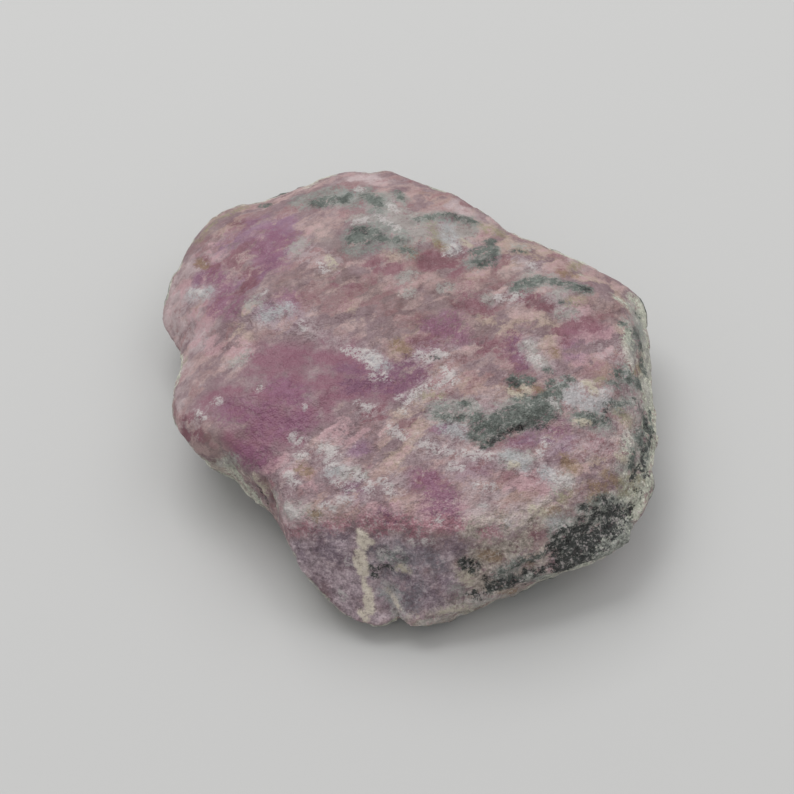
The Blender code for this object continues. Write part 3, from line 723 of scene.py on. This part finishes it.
        (2, [(637, 489), (641, 494)]), (2, [(603, 410), (608, 412)]), (2, [(580, 289), (586, 290)]),
        (2, [(645, 442), (641, 456)]), (2, [(642, 462), (643, 476)]), (2, [(636, 472), (632, 480)]),
        (2, [(364, 230), (367, 234)]), (2, [(371, 568), (376, 576)]), (2, [(380, 566), (390, 568)]),
        # Painted shade: the second stroke on the next line also draws the black line along the hollow's
        # upper edge.
        (1, [(431, 358), (437, 357)]), (3, [(549, 549), (556, 537), (568, 529), (592, 527)]),
        (5, [(592, 520), (612, 504)]), (4, [(604, 550), (618, 528), (630, 508)]),
        (7, [(566, 546), (590, 540)]), (1, [(646, 418), (650, 436), (645, 456)]),
        (6, [(566, 553), (592, 548)]),
    ],
    "white": [
        (4, [(346, 350), (360, 355)]), (3, [(366, 352), (380, 360)]), (3, [(368, 362), (374, 372)]),
        (3, [(374, 376), (387, 377)]), (3, [(418, 354), (427, 358)]), (3, [(435, 352), (447, 354)]),
        (4, [(446, 370), (452, 380)]), (3, [(418, 389), (443, 382)]), (3, [(409, 402), (416, 390)]),
        (2, [(399, 397), (401, 398)]), (2, [(402, 411), (404, 412)]), (5, [(393, 430), (401, 435)]),
        (3, [(287, 474), (296, 482)]), (3, [(299, 454), (305, 456)]), (3, [(292, 436), (299, 440)]),
        (4, [(323, 448), (335, 453)]), (3, [(328, 461), (334, 467)]), (4, [(346, 473), (360, 476)]),
        (4, [(360, 480), (370, 488)]), (3, [(338, 483), (350, 490)]), (2, [(341, 499), (349, 500)]),
        (3, [(325, 505), (331, 508)]), (3, [(286, 508), (294, 515)]), (3, [(382, 480), (391, 492)]),
        (4, [(425, 444), (436, 450)]), (3, [(446, 450), (453, 454)]), (3, [(466, 452), (474, 456)]),
        (3, [(479, 454), (490, 456)]), (3, [(451, 466), (461, 467)]), (2, [(476, 485), (494, 487)]),
        (2, [(438, 519), (440, 521)]), (2, [(481, 504), (485, 506)]), (2, [(504, 522), (507, 524)]),
        (2, [(549, 441), (544, 446), (539, 452)]), (2, [(545, 439), (548, 437)]),
        (4, [(555, 476), (568, 484)]), (4, [(585, 386), (598, 394)]), (2, [(552, 400), (556, 410)]),
        (2, [(529, 344), (532, 358)]), (2, [(535, 356), (543, 366)]), (2, [(601, 394), (604, 397)]),
        (2, [(358, 188), (364, 192)]), (4, [(390, 205), (395, 210)]), (2, [(320, 264), (326, 270)]),
        (4, [(447, 252), (459, 248)]), (2, [(531, 263), (534, 267)]), (2, [(301, 323), (304, 327)]),
        (2, [(197, 414), (204, 418)]), (2, [(305, 406), (305, 407)]), (2, [(213, 402), (219, 401)]),
        (2, [(258, 388), (260, 386)]), (2, [(190, 292), (206, 294)]), (2, [(379, 554), (381, 556)]),
        (2, [(340, 593), (344, 598)]), (2, [(348, 562), (349, 564)]), (2, [(412, 542), (415, 544)]),
        (2, [(425, 542), (430, 542)]), (2, [(497, 296), (504, 300)]), (2, [(510, 300), (517, 294)]),
        (2, [(262, 290), (265, 292)]), (2, [(357, 403), (370, 408)]), (2, [(386, 586), (398, 602)]),
        (2, [(399, 606), (404, 618)]), (2, [(356, 222), (366, 220)]), (2, [(378, 217), (398, 230)]),
        (2, [(384, 552), (386, 554)]), (2, [(392, 558), (395, 560)]), (2, [(402, 566), (405, 568)]),
        (2, [(398, 550), (401, 551)]), (2, [(539, 453), (549, 442)]), (4, [(586, 384), (595, 391)]),
        (3, [(392, 426), (401, 436)]), (3, [(446, 372), (453, 382)]),
    ],
    "cream": [
        (5, [(256, 477), (265, 492)]), (4, [(329, 258), (333, 265)]), (3, [(463, 242), (469, 246)]),
        (3, [(523, 388), (529, 391)]), (3, [(575, 422), (587, 422)]), (3, [(511, 466), (516, 466)]),
        (4, [(532, 509), (544, 514)]), (3, [(617, 456), (624, 460)]), (4, [(401, 568), (407, 571)]),
        (4, [(463, 575), (469, 577)]), (4, [(442, 612), (468, 607)]), (3, [(592, 386), (596, 392)]),
        (5, [(587, 384), (594, 390)]), (4, [(461, 578), (472, 582)]), (3, [(510, 391), (520, 396)]),
    ],
    "ivory": [
        (4, [(360, 532), (366, 536)]), (5, [(361, 540), (364, 546)]), (4, [(367, 541), (371, 542)]),
        (5, [(359, 552), (362, 558)]), (6, [(362, 562), (363, 572)]), (3, [(363, 578), (365, 587)]),
        (5, [(368, 590), (369, 596)]), (6, [(369, 600), (370, 609)]), (4, [(361, 612), (366, 618)]),
        (3, [(356, 558), (357, 566)]), (2, [(385, 588), (394, 597), (400, 609)]),
        (2, [(400, 609), (396, 619)]),
    ],
})
print("strokes in all:", sum(len(strokes) for strokes in STROKES.values()))

# %% [markdown]
# ## From strokes to strengths
# A mesh can't hold strokes, but each of its points can hold numbers. So every point gets one
# number for each mineral, its strength there, worked out from its distance to the nearest stroke.
# A painted image could do the same, but it would have to be unwrapped and would blur close up.

# %% Strength of each mineral at each point
def pixel_size(point):
    """How many mm one pixel covers at a point: its distance along the view over the lens."""
    return (point - CAMERA_PLACE) @ FORWARD / PIXELS_PER_SLOPE


def strength_of(mineral, points):
    """The strength of a mineral's strokes at each point: 1/2, plus half the depth inside the
    nearest stroke's edge over the fade, held between 0 and 1."""
    strongest = np.zeros(len(points))
    for half_width, pixels in STROKES[mineral]:
        path = stroke_path(pixels)
        depth = half_width * pixel_size(path[0]) - distance_to_path(points, path)
        strongest = np.maximum(strongest, 0.5 + 0.5 * depth / MINERALS[mineral].fade)
    return np.clip(strongest, 0, 1)


STRENGTHS = {mineral: strength_of(mineral, BROAD_FORM) for mineral in STROKES}
print({mineral: round(float((field > 0.5).mean()), 3) for mineral, field in STRENGTHS.items()})

# %% [markdown]
# ## Traces and loose grains
# Between the patches, a little of the commonest minerals runs all through the rock, too thin for
# strokes of its own. The noise that frays the edges lifts such traces over one half here and
# there. The parting plane is one clean crystal, so it has hardly any. Loose grains are commoner on
# the broken walls and rarer towards the worn far side.

# %% Traces and loose grains
TRACES = {"frost": 0.20, "crimson": 0.26, "rose": 0.26, "tan": 0.30, "salmon": 0.24, "wine": 0.20}
FROST_OFF_PARTING = 0.8  # the share of its frost that the parting plane is without
GRAINS_EVERYWHERE, GRAINS_ON_WALLS = 0.13, 0.06
GRAINS_IN = {  # what a mineral adds to the strengths of the light and of the dark grains
    "parting": (-0.11, -0.11), "ridge": (0.10, 0.04), "hornblende_and_painted_shade": (0.06, 0.00),
}
GRAINS_THIN_OUT = (-4.0, 10.0)  # mm along Y, from where they start to where they have thinned out
GRAINS_LOST = 0.45  # the share that the far side is without


def faded(values, start, end):
    """0 for values at the start and before it, 1 at the end and past it, and the share of the
    way between them in between. The end may be less than the start."""
    return np.clip((values - start) / (end - start), 0, 1)


for mineral, trace in TRACES.items():
    STRENGTHS[mineral] = np.maximum(STRENGTHS[mineral], trace * (1 - STRENGTHS["parting"]))
STRENGTHS["frost"] *= 1 - FROST_OFF_PARTING * STRENGTHS["parting"]
BROKEN_WALL = np.maximum(STRENGTHS["weathered"], STRENGTHS["beige"])
KEPT_GRAINS = 1 - GRAINS_LOST * faded(BROAD_FORM[:, 1], *GRAINS_THIN_OUT)
for kind, grain in enumerate(("light_grains", "dark_grains")):
    field = GRAINS_EVERYWHERE + GRAINS_ON_WALLS * BROKEN_WALL
    for mineral, changes in GRAINS_IN.items():
        field += changes[kind] * STRENGTHS[mineral]
    STRENGTHS[grain] = field * KEPT_GRAINS
    print("strength of", grain, "from", round(field.min(), 2), "to", round(field.max(), 2))

# %% [markdown]
# ## Minerals on the sides that face away
# The back, the underside and most of the left wall are out of the camera's sight, and the stone
# has to hold up from there too. They carry the same minerals, placed by smooth random numbers.
# A mineral shows where its numbers pass a threshold, which also says how rare it is. A pale crust
# of weathered rock lies over most of the walls that are turned away.

# %% Scatter
HIDDEN_SIDE = {  # size of the patches in mm, threshold, seed
    "weathered": (7.0, -0.20, 30), "violet": (5.0, 0.30, 31), "rose": (4.0, 0.30, 32),
    "crimson": (3.5, 0.40, 33), "tan": (4.5, 0.28, 34), "pale": (3.6, 0.36, 35),
    "white": (2.0, 0.55, 36), "pale_zoisite": (4.2, 0.30, 37), "zoisite": (4.2, 0.42, 37),
    "hornblende_and_painted_shade": (3.0, 0.50, 38), "rust": (2.4, 0.62, 39), "frost": (3.0, 0.10, 40),
}
FINER_SHARE, FINER_TIMES = 0.35, 2.7  # finer lumps fray each patch: their share, how much finer
FINER_SEED = 100  # is added to the patch's own seed
PATCH_SLOPE = 1.8  # how fast a patch's strength rises past its threshold
OUT_OF_SIGHT = (0.12, -0.13)  # share of the normal that points at the camera: in sight, and hidden
AWAY = (0.45, 0.15)  # the same for walls that the camera sees only at a slant
CRUST_PATCH, CRUST_MEAN, CRUST_SPREAD, CRUST_SEED = 3.0, 0.62, 0.8, 29


def normals_of(points):
    """Each point's outward direction: the sum of its quads' normals, and a quad's normal is the
    cross product of its diagonals."""
    corners = points[QUADS]
    flat = np.cross(corners[:, 2] - corners[:, 0], corners[:, 3] - corners[:, 1])
    total = np.stack(
        [np.bincount(QUADS.ravel(), np.repeat(flat[:, axis], 4), len(points)) for axis in range(3)],
        axis=1)
    return total / np.linalg.norm(total, axis=1)[:, None]


NORMALS = normals_of(BROAD_FORM)
FACING = -(NORMALS @ FORWARD)
HIDDEN = faded(FACING, *OUT_OF_SIGHT)
TURNED_AWAY = faded(FACING, *AWAY)
CRUST = np.clip(CRUST_MEAN + CRUST_SPREAD * lumps(BROAD_FORM, CRUST_PATCH, CRUST_SEED), 0, 1)
STRENGTHS["rim_rock"] = np.maximum(STRENGTHS["rim_rock"], TURNED_AWAY * CRUST)
for mineral, (size, threshold, seed) in HIDDEN_SIDE.items():
    field = lumps(BROAD_FORM, size, seed)
    field += FINER_SHARE * lumps(BROAD_FORM, size / FINER_TIMES, seed + FINER_SEED)
    scattered = np.clip(0.5 + PATCH_SLOPE * (field - threshold), 0, 1)
    STRENGTHS[mineral] = np.maximum(STRENGTHS[mineral], HIDDEN * scattered)
print("share out of sight:", round(float((HIDDEN > 0.5).mean()), 2))

# %% [markdown]
# ## Handling wear
# The front wall is a fresh break. Towards the back and on the left shoulder the lump is rubbed
# smooth. Worn rock keeps its broad form and its colours, and loses its finest relief and its
# sparkle. So each point gets one number for its wear, which weakens the relief below and, kept on
# the mesh, the grain in the material.

# %% Handling wear
MOST_WORN = 0.65
BACK_WEAR = (-6.0, 16.0)  # mm along Y, from fresh to worn
LEFT_WEAR = (-14.0, -20.0)  # the same along X

TO_THE_BACK = faded(BROAD_FORM[:, 1], *BACK_WEAR)
TO_THE_LEFT = faded(BROAD_FORM[:, 0], *LEFT_WEAR) * (1 - TURNED_AWAY)
SMOOTHED = MOST_WORN * np.maximum(TO_THE_BACK, TO_THE_LEFT)
print("worn smooth:", round(float((SMOOTHED > 0.3).mean()), 2))

# %% [markdown]
# ## Fine relief
# A broken surface of grown-together crystals is rough at every size. Ruby here has grown in long
# fibres that run across the top face, so its relief is drawn out along them. Feldspar is smooth,
# zoisite and hornblende break in grains. Real relief goes down to the mesh's own spacing of about
# 0.2 mm, and the material's bump takes over below that.

# %% Relief's layers
FIBRE_TURN = math.radians(35.0)  # from +X towards +Y, seen from above
FIBRE_AXES = np.array([
    [math.cos(FIBRE_TURN), math.sin(FIBRE_TURN), 0.0],
    [-math.sin(FIBRE_TURN), math.cos(FIBRE_TURN), 0.0],
    [0.0, 0.0, 1.0],
])
FIBRE_LAYERS = [(0.06, 4.5, 0.9, 41), (0.03, 2.5, 0.5, 42)]  # height, length, width in mm, seed
GRAIN_LAYERS = [(0.13, 2.4, 48), (0.08, 1.1, 49)]  # height and size in mm, seed
GRIT_LAYERS = [(0.06, 1.3, 43), (0.04, 0.75, 44), (0.03, 0.45, 45)]  # the same
PIT_LAYERS = [(0.45, 1.7, 46), (0.50, 0.9, 47)]  # threshold, size in mm, seed
PIT_DEPTH = 0.4  # mm for each 1 by which the random numbers pass the threshold
LOST_OUT_OF_SIGHT, LOST_TO_WEAR = 0.2, 0.5  # shares of the relief
RELIEF_SHOWS = (0.3, 0.7)  # strengths at which a mineral's own relief starts, and is complete
RELIEF = {  # how far each mineral stands out in mm, and how rough it is beside plain ruby
    "parting": (0.0, 0.35), "violet": (0.0, 0.7), "magenta": (0.0, 0.7), "crimson": (-0.04, 1.0),
    "purple": (-0.06, 0.8), "wine": (-0.10, 1.1), "weathered": (0.0, 1.3), "beige": (0.0, 1.6),
    "plum": (-0.04, 1.3), "slate": (-0.05, 1.3), "frost": (0.03, 1.1), "pale": (0.05, 1.2),
    "lavender": (0.06, 1.0), "pale_zoisite": (0.06, 1.4), "zoisite": (0.10, 1.8),
    "hornblende_and_painted_shade": (-0.10, 2.2), "grey_matrix": (0.0, 1.8), "rim_rock": (0.0, 1.4),
    "ridge": (0.0, 1.2), "white": (0.10, 1.0), "cream": (0.10, 0.8), "ivory": (0.18, 0.5),
}


# %% Relief along the normals
def fibres(points, length, width, seed):
    """Smooth random numbers drawn out along the fibres: lumps worked out in coordinates that
    are divided by the fibres' length along them and by their width across them."""
    return lumps(points @ FIBRE_AXES.T / (length, width, width), 1.0, seed)


def grains(points, size, seed):
    """Flat facets, tilted at random, as broken grains have. Each cube of a grid holds one grain's
    middle, a point belongs to the nearest middle, and its height is its offset from that middle
    along the grain's tilt."""
    random = np.random.default_rng(seed)
    middles = random.uniform(0, 1, (16, 16, 16, 3))
    tilts = random.uniform(-1, 1, (16, 16, 16, 3))
    scaled = points / size
    cell = np.floor(scaled).astype(int)
    nearest = np.full(len(points), np.inf)
    height = np.zeros(len(points))
    for step in np.ndindex(3, 3, 3):
        cube = cell + step - 1
        x, y, z = (cube % 16).T
        offset = scaled - cube - middles[x, y, z]
        gap = np.linalg.norm(offset, axis=1)
        closer = gap < nearest
        nearest[closer] = gap[closer]
        height[closer] = np.sum(offset * tilts[x, y, z], axis=1)[closer]
    return height


def relief(points):
    """Height of the fine surface over the broad form, in mm. Fibres on the top face, broken
    grains and grit of several sizes add up, each mineral scales them and adds its own height, and
    rare deep spots make pits."""
    fibrous = sum(high * fibres(points, long, wide, seed) for high, long, wide, seed in FIBRE_LAYERS)
    broken = sum(high * grains(points, size, seed) for high, size, seed in GRAIN_LAYERS)
    gritty = sum(high * lumps(points, size, seed) for high, size, seed in GRIT_LAYERS)
    pits = sum(np.clip(lumps(points, size, seed) - least, 0, 1) for least, size, seed in PIT_LAYERS)
    rough = fibrous * np.clip(NORMALS[:, 2], 0, 1) + broken + gritty
    scale = np.ones(len(points))
    height = np.zeros(len(points))
    for mineral, (stands_out, roughness) in RELIEF.items():
        shown = faded(STRENGTHS[mineral], *RELIEF_SHOWS)
        scale += (roughness - scale) * shown
        height += stands_out * shown
    scale *= (1 - LOST_OUT_OF_SIGHT * HIDDEN) * (1 - LOST_TO_WEAR * SMOOTHED)
    return height + (rough - PIT_DEPTH * pits) * scale


FINE_FORM = BROAD_FORM + relief(BROAD_FORM)[:, None] * NORMALS
FINE_FORM[:, 2] = np.maximum(FINE_FORM[:, 2], 0.0)  # the flat break stays on the floor
print("fine form in mm:", np.round(FINE_FORM.min(0), 2), np.round(FINE_FORM.max(0), 2))

# %% [markdown]
# ## The stone's mesh
# The stone is one skin, so it is one mesh, of quads that share their corners. Next to its place,
# every point keeps one number for each mineral and one for its wear. The material reads them as
# attributes. That keeps the patches fixed to the surface, without an image or a UV map.

# %% The stone's mesh
def make_stone():
    """The stone as one smoothly shaded mesh, with its strengths and its wear on its points."""
    mesh = bpy.data.meshes.new("ruby_lump")
    mesh.from_pydata((FINE_FORM * MM).tolist(), [], QUADS.tolist())
    mesh.shade_smooth()
    for name, values in {**STRENGTHS, "smoothed": SMOOTHED}.items():
        field = mesh.attributes.new(name, "FLOAT", "POINT")
        field.data.foreach_set("value", values.astype(np.float32))
    stone = bpy.data.objects.new("ruby_lump", mesh)
    bpy.context.scene.collection.objects.link(stone)
    return stone


STONE = make_stone()
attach(STONE, "root")
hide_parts("ruby_crystal")
print("triangles:", 2 * len(STONE.data.polygons), "attributes:", len(STRENGTHS) + 1)

# %% [markdown]
# ## Colours and nodes
# A mineral's tints are written down as they look on the stone in this light. What the material
# needs is the rock's own colour, which is worked out from them. Nodes are added by one short
# function, so that a line of the script reads like a line of a recipe.

# %% Colours and the node helper
DARKEST = 0.004  # no rock sends back less of the light than this


def colour(code):
    """An sRGB hex code as linear red, green, blue and alpha: below 0.04045 a channel is divided
    by 12.92, above that it follows the 2.4 power."""
    channels = [int(code[start:start + 2], 16) / 255 for start in (1, 3, 5)]
    linear = [c / 12.92 if c <= 0.04045 else ((c + 0.055) / 1.055) ** 2.4 for c in channels]
    return (*linear, 1.0)


def own_colour(seen, light):
    """The rock's own colour where it looks like this one, in linear values: the light that the
    surface mirrors is taken off, and the rest is divided by how brightly the place is lit."""
    red, green, blue, _ = colour(seen)
    own = [max(DARKEST, (value - light.mirrored) / light.brightness) for value in (red, green, blue)]
    return (*own, 1.0)


def add(tree, kind, inputs=(), **settings):
    """Adds a node with its settings. An input is a value, or another node's output to link. Inputs
    that share a name go by number: a Mix node has its factor at 0, its two numbers at 2 and 3 and
    its two colours at 6 and 7."""
    node = tree.nodes.new(kind)
    for name, value in settings.items():
        setattr(node, name, value)
    for key, value in dict(inputs).items():
        if isinstance(value, bpy.types.NodeSocket):
            tree.links.new(value, node.inputs[key])
        else:
            node.inputs[key].default_value = value
    return node


print("parting plane, as seen and by itself:", MINERALS["parting"].dark,
      np.round(own_colour(MINERALS["parting"].dark, TOP_LIGHT)[:3], 3))

# %% [markdown]
# ## Patterns in the rock
# The patches would have soft, even edges if nothing broke them up. Noise textures could be mixed
# in one by one for each mineral. Here a few are made once and shared: clouds of about 2 mm, fibres
# drawn out across the top face, grit and specks of well under 1 mm, veins that are fibres with
# grit, and a mosaic of cut crystals. The same patterns also set how dark each tint is.

# %% Patterns in the rock
NOISES = {  # direction, scale per mm, octaves, weight of each finer octave, distortion
    "cloud": ("even", 0.45, 7.0, 0.62, 0.0),
    "fibre": ("drawn_out", 0.70, 5.0, 0.78, 1.0),
    "grit": ("even", 1.60, 3.0, 0.95, 0.0),
    "specks": ("even", 1.50, 2.0, 1.00, 0.0),
}
DRAWN_OUT = (0.55, 1.5, 1.5)  # a pattern is longer along the fibres by one over this, finer across
NOISE_SPREAD, MOSAIC_SPREAD = 5.0, 2.4  # bring a pattern, which lies round 1/2, to about -1 to 1
MOSAIC_SCALE = 0.62  # crystals per mm
MOSAIC_SOFTNESS = 0.6  # how much neighbouring crystals run into each other
MOSAIC_WOBBLE = 0.7  # mm by which the clouds bend their borders
VEINS_IN_CELLS = 0.6  # the share of the veins that is added to the mosaic
TONE = [  # pattern, which of its three channels, share in how light a tint is
    ("cloud", 0, 0.20), ("mosaic", 2, 0.12), ("fibre", 1, 0.16), ("grit", 2, 0.16), ("specks", 2, 0.10),
]


def spread_round_zero(spread):
    """The factor and the shift that turn numbers round 1/2 into numbers round 0: times the
    spread, less half of it."""
    return {1: (spread,) * 3, 2: (-spread / 2,) * 3}


def rock_patterns(tree):
    """The patterns by name, each as three unlike channels from about -1 to 1."""
    place = add(tree, "ShaderNodeTexCoord").outputs["Object"]
    even = add(tree, "ShaderNodeMapping", {"Vector": place, "Scale": (1000, 1000, 1000)}).outputs[0]
    turned = add(tree, "ShaderNodeMapping", {"Vector": even, "Rotation": (0, 0, -FIBRE_TURN)}).outputs[0]
    drawn_out = add(tree, "ShaderNodeMapping", {"Vector": turned, "Scale": DRAWN_OUT}).outputs[0]
    directions = {"even": even, "drawn_out": drawn_out}

    patterns = {}
    for name, (direction, scale, octaves, finer, distortion) in NOISES.items():
        noise = add(tree, "ShaderNodeTexNoise", {
            "Vector": directions[direction], "Scale": scale, "Detail": octaves, "Roughness": finer,
            "Distortion": distortion}).outputs["Color"]
        noise = add(tree, "ShaderNodeVectorMath", {0: noise, **spread_round_zero(NOISE_SPREAD)},
                    operation="MULTIPLY_ADD").outputs[0]
        patterns[name] = add(tree, "ShaderNodeSeparateXYZ", {0: noise}).outputs

    cloud, fibre, grit = patterns["cloud"], patterns["fibre"], patterns["grit"]
    wobble = add(tree, "ShaderNodeCombineXYZ", {0: cloud[0], 1: cloud[1], 2: cloud[2]}).outputs[0]
    wobbled = add(tree, "ShaderNodeVectorMath", {0: wobble, 1: (MOSAIC_WOBBLE,) * 3, 2: drawn_out},
                  operation="MULTIPLY_ADD").outputs[0]
    mosaic = add(tree, "ShaderNodeTexVoronoi", {
        "Vector": wobbled, "Scale": MOSAIC_SCALE, "Smoothness": MOSAIC_SOFTNESS},
        feature="SMOOTH_F1").outputs["Color"]
    mosaic = add(tree, "ShaderNodeVectorMath", {0: mosaic, **spread_round_zero(MOSAIC_SPREAD)},
                 operation="MULTIPLY_ADD").outputs[0]
    mosaic = add(tree, "ShaderNodeSeparateXYZ", {0: mosaic}).outputs
    veins = [add(tree, "ShaderNodeMath", {0: fibre[channel], 1: grit[channel]},
                 operation="ADD").outputs[0] for channel in range(3)]
    cells = [add(tree, "ShaderNodeMath", {0: veins[channel], 1: VEINS_IN_CELLS, 2: mosaic[channel]},
                 operation="MULTIPLY_ADD").outputs[0] for channel in range(3)]
    return {**patterns, "mosaic": mosaic, "veins": veins, "cells": cells}


def rock_tone(tree, patterns):
    """How light the rock's tints are, round 1/2: the shares of several patterns are added to it."""
    tone = 0.5
    for name, channel, share in TONE:
        tone = add(tree, "ShaderNodeMath", {0: patterns[name][channel], 1: share, 2: tone},
                   operation="MULTIPLY_ADD").outputs[0]
    return tone


print("noises:", list(NOISES), "and a mosaic, veins and cells made from them")

# %% [markdown]
# ## The rock's material
# Cut crystals show their own colours, so the material is a stack: plain ruby first, and every
# mineral over it where its strength, frayed by a pattern, passes one half. Colour, speckle and
# roughness are stacked alike, so each mineral brings its own grain and its own slight shine.

# %% The stack of minerals
PLAIN_DARK, PLAIN_LIGHT = "#7C656A", "#A59396"
PLAIN_SPECKLE, PLAIN_ROUGHNESS = 0.18, 0.60


def mineral_stack(tree, patterns, tone):
    """The colour, speckle and roughness of all minerals over plain ruby. A mineral's strength is
    multiplied by 1 plus twice its fray times a pattern. It shows by a smooth step round 1/2."""
    colours = {6: own_colour(PLAIN_DARK, TOP_LIGHT), 7: own_colour(PLAIN_LIGHT, TOP_LIGHT)}
    stack = add(tree, "ShaderNodeMix", {0: tone, **colours}, data_type="RGBA").outputs[2]
    speckle, roughness = PLAIN_SPECKLE, PLAIN_ROUGHNESS
    for number, (name, mineral) in enumerate(MINERALS.items()):
        strength = add(tree, "ShaderNodeAttribute", attribute_name=name).outputs["Fac"]
        pattern = patterns[mineral.edge][number % 3]
        frayed = add(tree, "ShaderNodeMath", {0: pattern, 1: 2 * mineral.fray, 2: 1.0},
                     operation="MULTIPLY_ADD").outputs[0]
        frayed = add(tree, "ShaderNodeMath", {0: frayed, 1: strength}, operation="MULTIPLY").outputs[0]
        shown = add(tree, "ShaderNodeMapRange", {
            "Value": frayed, "From Min": 0.5 - mineral.softness, "From Max": 0.5 + mineral.softness,
            "To Max": mineral.cover}, interpolation_type="SMOOTHSTEP").outputs[0]
        colours = {6: own_colour(mineral.dark, mineral.light),
                   7: own_colour(mineral.pale, mineral.light)}
        tint = add(tree, "ShaderNodeMix", {0: tone, **colours}, data_type="RGBA").outputs[2]
        stack = add(tree, "ShaderNodeMix", {0: shown, 6: stack, 7: tint}, data_type="RGBA").outputs[2]
        speckle = add(tree, "ShaderNodeMix", {0: shown, 2: speckle, 3: mineral.speckle}).outputs[0]
        roughness = add(tree, "ShaderNodeMix", {0: shown, 2: roughness, 3: mineral.roughness}).outputs[0]
    return stack, speckle, roughness


# %% The rock's material
BUMP_HEIGHT = 0.00005  # m, for grain finer than the mesh
DARKEST_SPECK = 0.05
CORUNDUM_IOR = 1.6  # pure corundum has 1.76, feldspar 1.53, and the mix lies between
BROKEN_GLOSS = 0.3  # a broken face scatters much of what a polished one would mirror


def rock_material():
    """Ruby grown together with its host rock and broken open: no polish, no coat, every crystal
    with its own colour and a slight shine of its own. Where the stone is worn, the specks and the
    bump grow weaker."""
    material = bpy.data.materials.new("broken_ruby_rock")
    material.use_nodes = True
    tree = material.node_tree
    surface = tree.nodes["Principled BSDF"]
    patterns = rock_patterns(tree)
    specks = patterns["specks"]
    stack, speckle, roughness = mineral_stack(tree, patterns, rock_tone(tree, patterns))

    smoothed = add(tree, "ShaderNodeAttribute", attribute_name="smoothed").outputs["Fac"]
    fresh = add(tree, "ShaderNodeMath", {0: 1.0, 1: smoothed}, operation="SUBTRACT").outputs[0]
    speckle = add(tree, "ShaderNodeMath", {0: speckle, 1: fresh}, operation="MULTIPLY").outputs[0]
    glint = add(tree, "ShaderNodeMath", {0: specks[0], 1: speckle, 2: 1.0},
                operation="MULTIPLY_ADD").outputs[0]
    glint = add(tree, "ShaderNodeMath", {0: glint, 1: DARKEST_SPECK}, operation="MAXIMUM").outputs[0]
    speckled = add(tree, "ShaderNodeVectorMath", {0: stack, "Scale": glint}, operation="SCALE").outputs[0]
    height = add(tree, "ShaderNodeMath", {0: specks[1], 1: fresh}, operation="MULTIPLY").outputs[0]
    bump = add(tree, "ShaderNodeBump", {"Height": height, "Distance": BUMP_HEIGHT, "Strength": 1.0})

    tree.links.new(speckled, surface.inputs["Base Color"])
    tree.links.new(roughness, surface.inputs["Roughness"])
    tree.links.new(bump.outputs[0], surface.inputs["Normal"])
    surface.inputs["IOR"].default_value = CORUNDUM_IOR
    surface.inputs["Specular IOR Level"].default_value = BROKEN_GLOSS
    return material


STONE.data.materials.append(rock_material())
print("nodes in the rock's material:", len(STONE.data.materials[0].node_tree.nodes))

# %% [markdown]
# ## Floor and light
# The stone lies on a plain pale sheet under a wide, soft light that stands a little behind it, so
# the front wall is darker than the top and the shadow stays close round the foot.

# %% Floor and light
FLOOR_REACH = 2.0  # m from the middle
BOX_SIZE = 0.5  # m
SOFT_BOXES = [  # name, energy in W, place in m
    ("main_soft_box", 2.50, (-0.1855, 0.3212, 0.5936)),
    ("side_soft_box", 0.71, (0.3212, 0.1855, 0.5936)),
]
ROOM_LIGHT = 0.51  # strength of the white room


def matt_paper():
    """Uncoated paper: it scatters nearly all light and has only a trace of shine."""
    material = bpy.data.materials.new("matt_paper")
    material.use_nodes = True
    surface = material.node_tree.nodes["Principled BSDF"]
    surface.inputs["Base Color"].default_value = colour("#CCCCCB")
    surface.inputs["Roughness"].default_value = 0.9
    surface.inputs["Specular IOR Level"].default_value = 0.2
    return material


def make_floor():
    """One square from -FLOOR_REACH to +FLOOR_REACH both ways, at height 0."""
    signs = [(-1, -1), (1, -1), (1, 1), (-1, 1)]
    corners = [(x * FLOOR_REACH, y * FLOOR_REACH, 0.0) for x, y in signs]
    mesh = bpy.data.meshes.new("floor")
    mesh.from_pydata(corners, [], [(0, 1, 2, 3)])
    mesh.materials.append(matt_paper())
    floor = bpy.data.objects.new("floor", mesh)
    bpy.context.scene.collection.objects.link(floor)


def make_lights():
    """Two square soft boxes aimed at the stone, in a room that is evenly white."""
    for name, energy, place in SOFT_BOXES:
        lamp = bpy.data.lights.new(name, "AREA")
        lamp.shape = "RECTANGLE"
        lamp.size = BOX_SIZE
        lamp.size_y = BOX_SIZE
        lamp.energy = energy
        box = bpy.data.objects.new(name, lamp)
        box.location = place
        box.rotation_euler = (-box.location).to_track_quat("-Z", "Y").to_euler()
        bpy.context.scene.collection.objects.link(box)
    world = bpy.data.worlds.new("studio")
    world.use_nodes = True
    world.node_tree.nodes["Background"].inputs["Color"].default_value = (1.0, 1.0, 1.0, 1.0)
    world.node_tree.nodes["Background"].inputs["Strength"].default_value = ROOM_LIGHT
    bpy.context.scene.world = world


make_floor()
make_lights()
bpy.context.scene.view_settings.view_transform = "Standard"
print("soft boxes:", [name for name, _, _ in SOFT_BOXES])
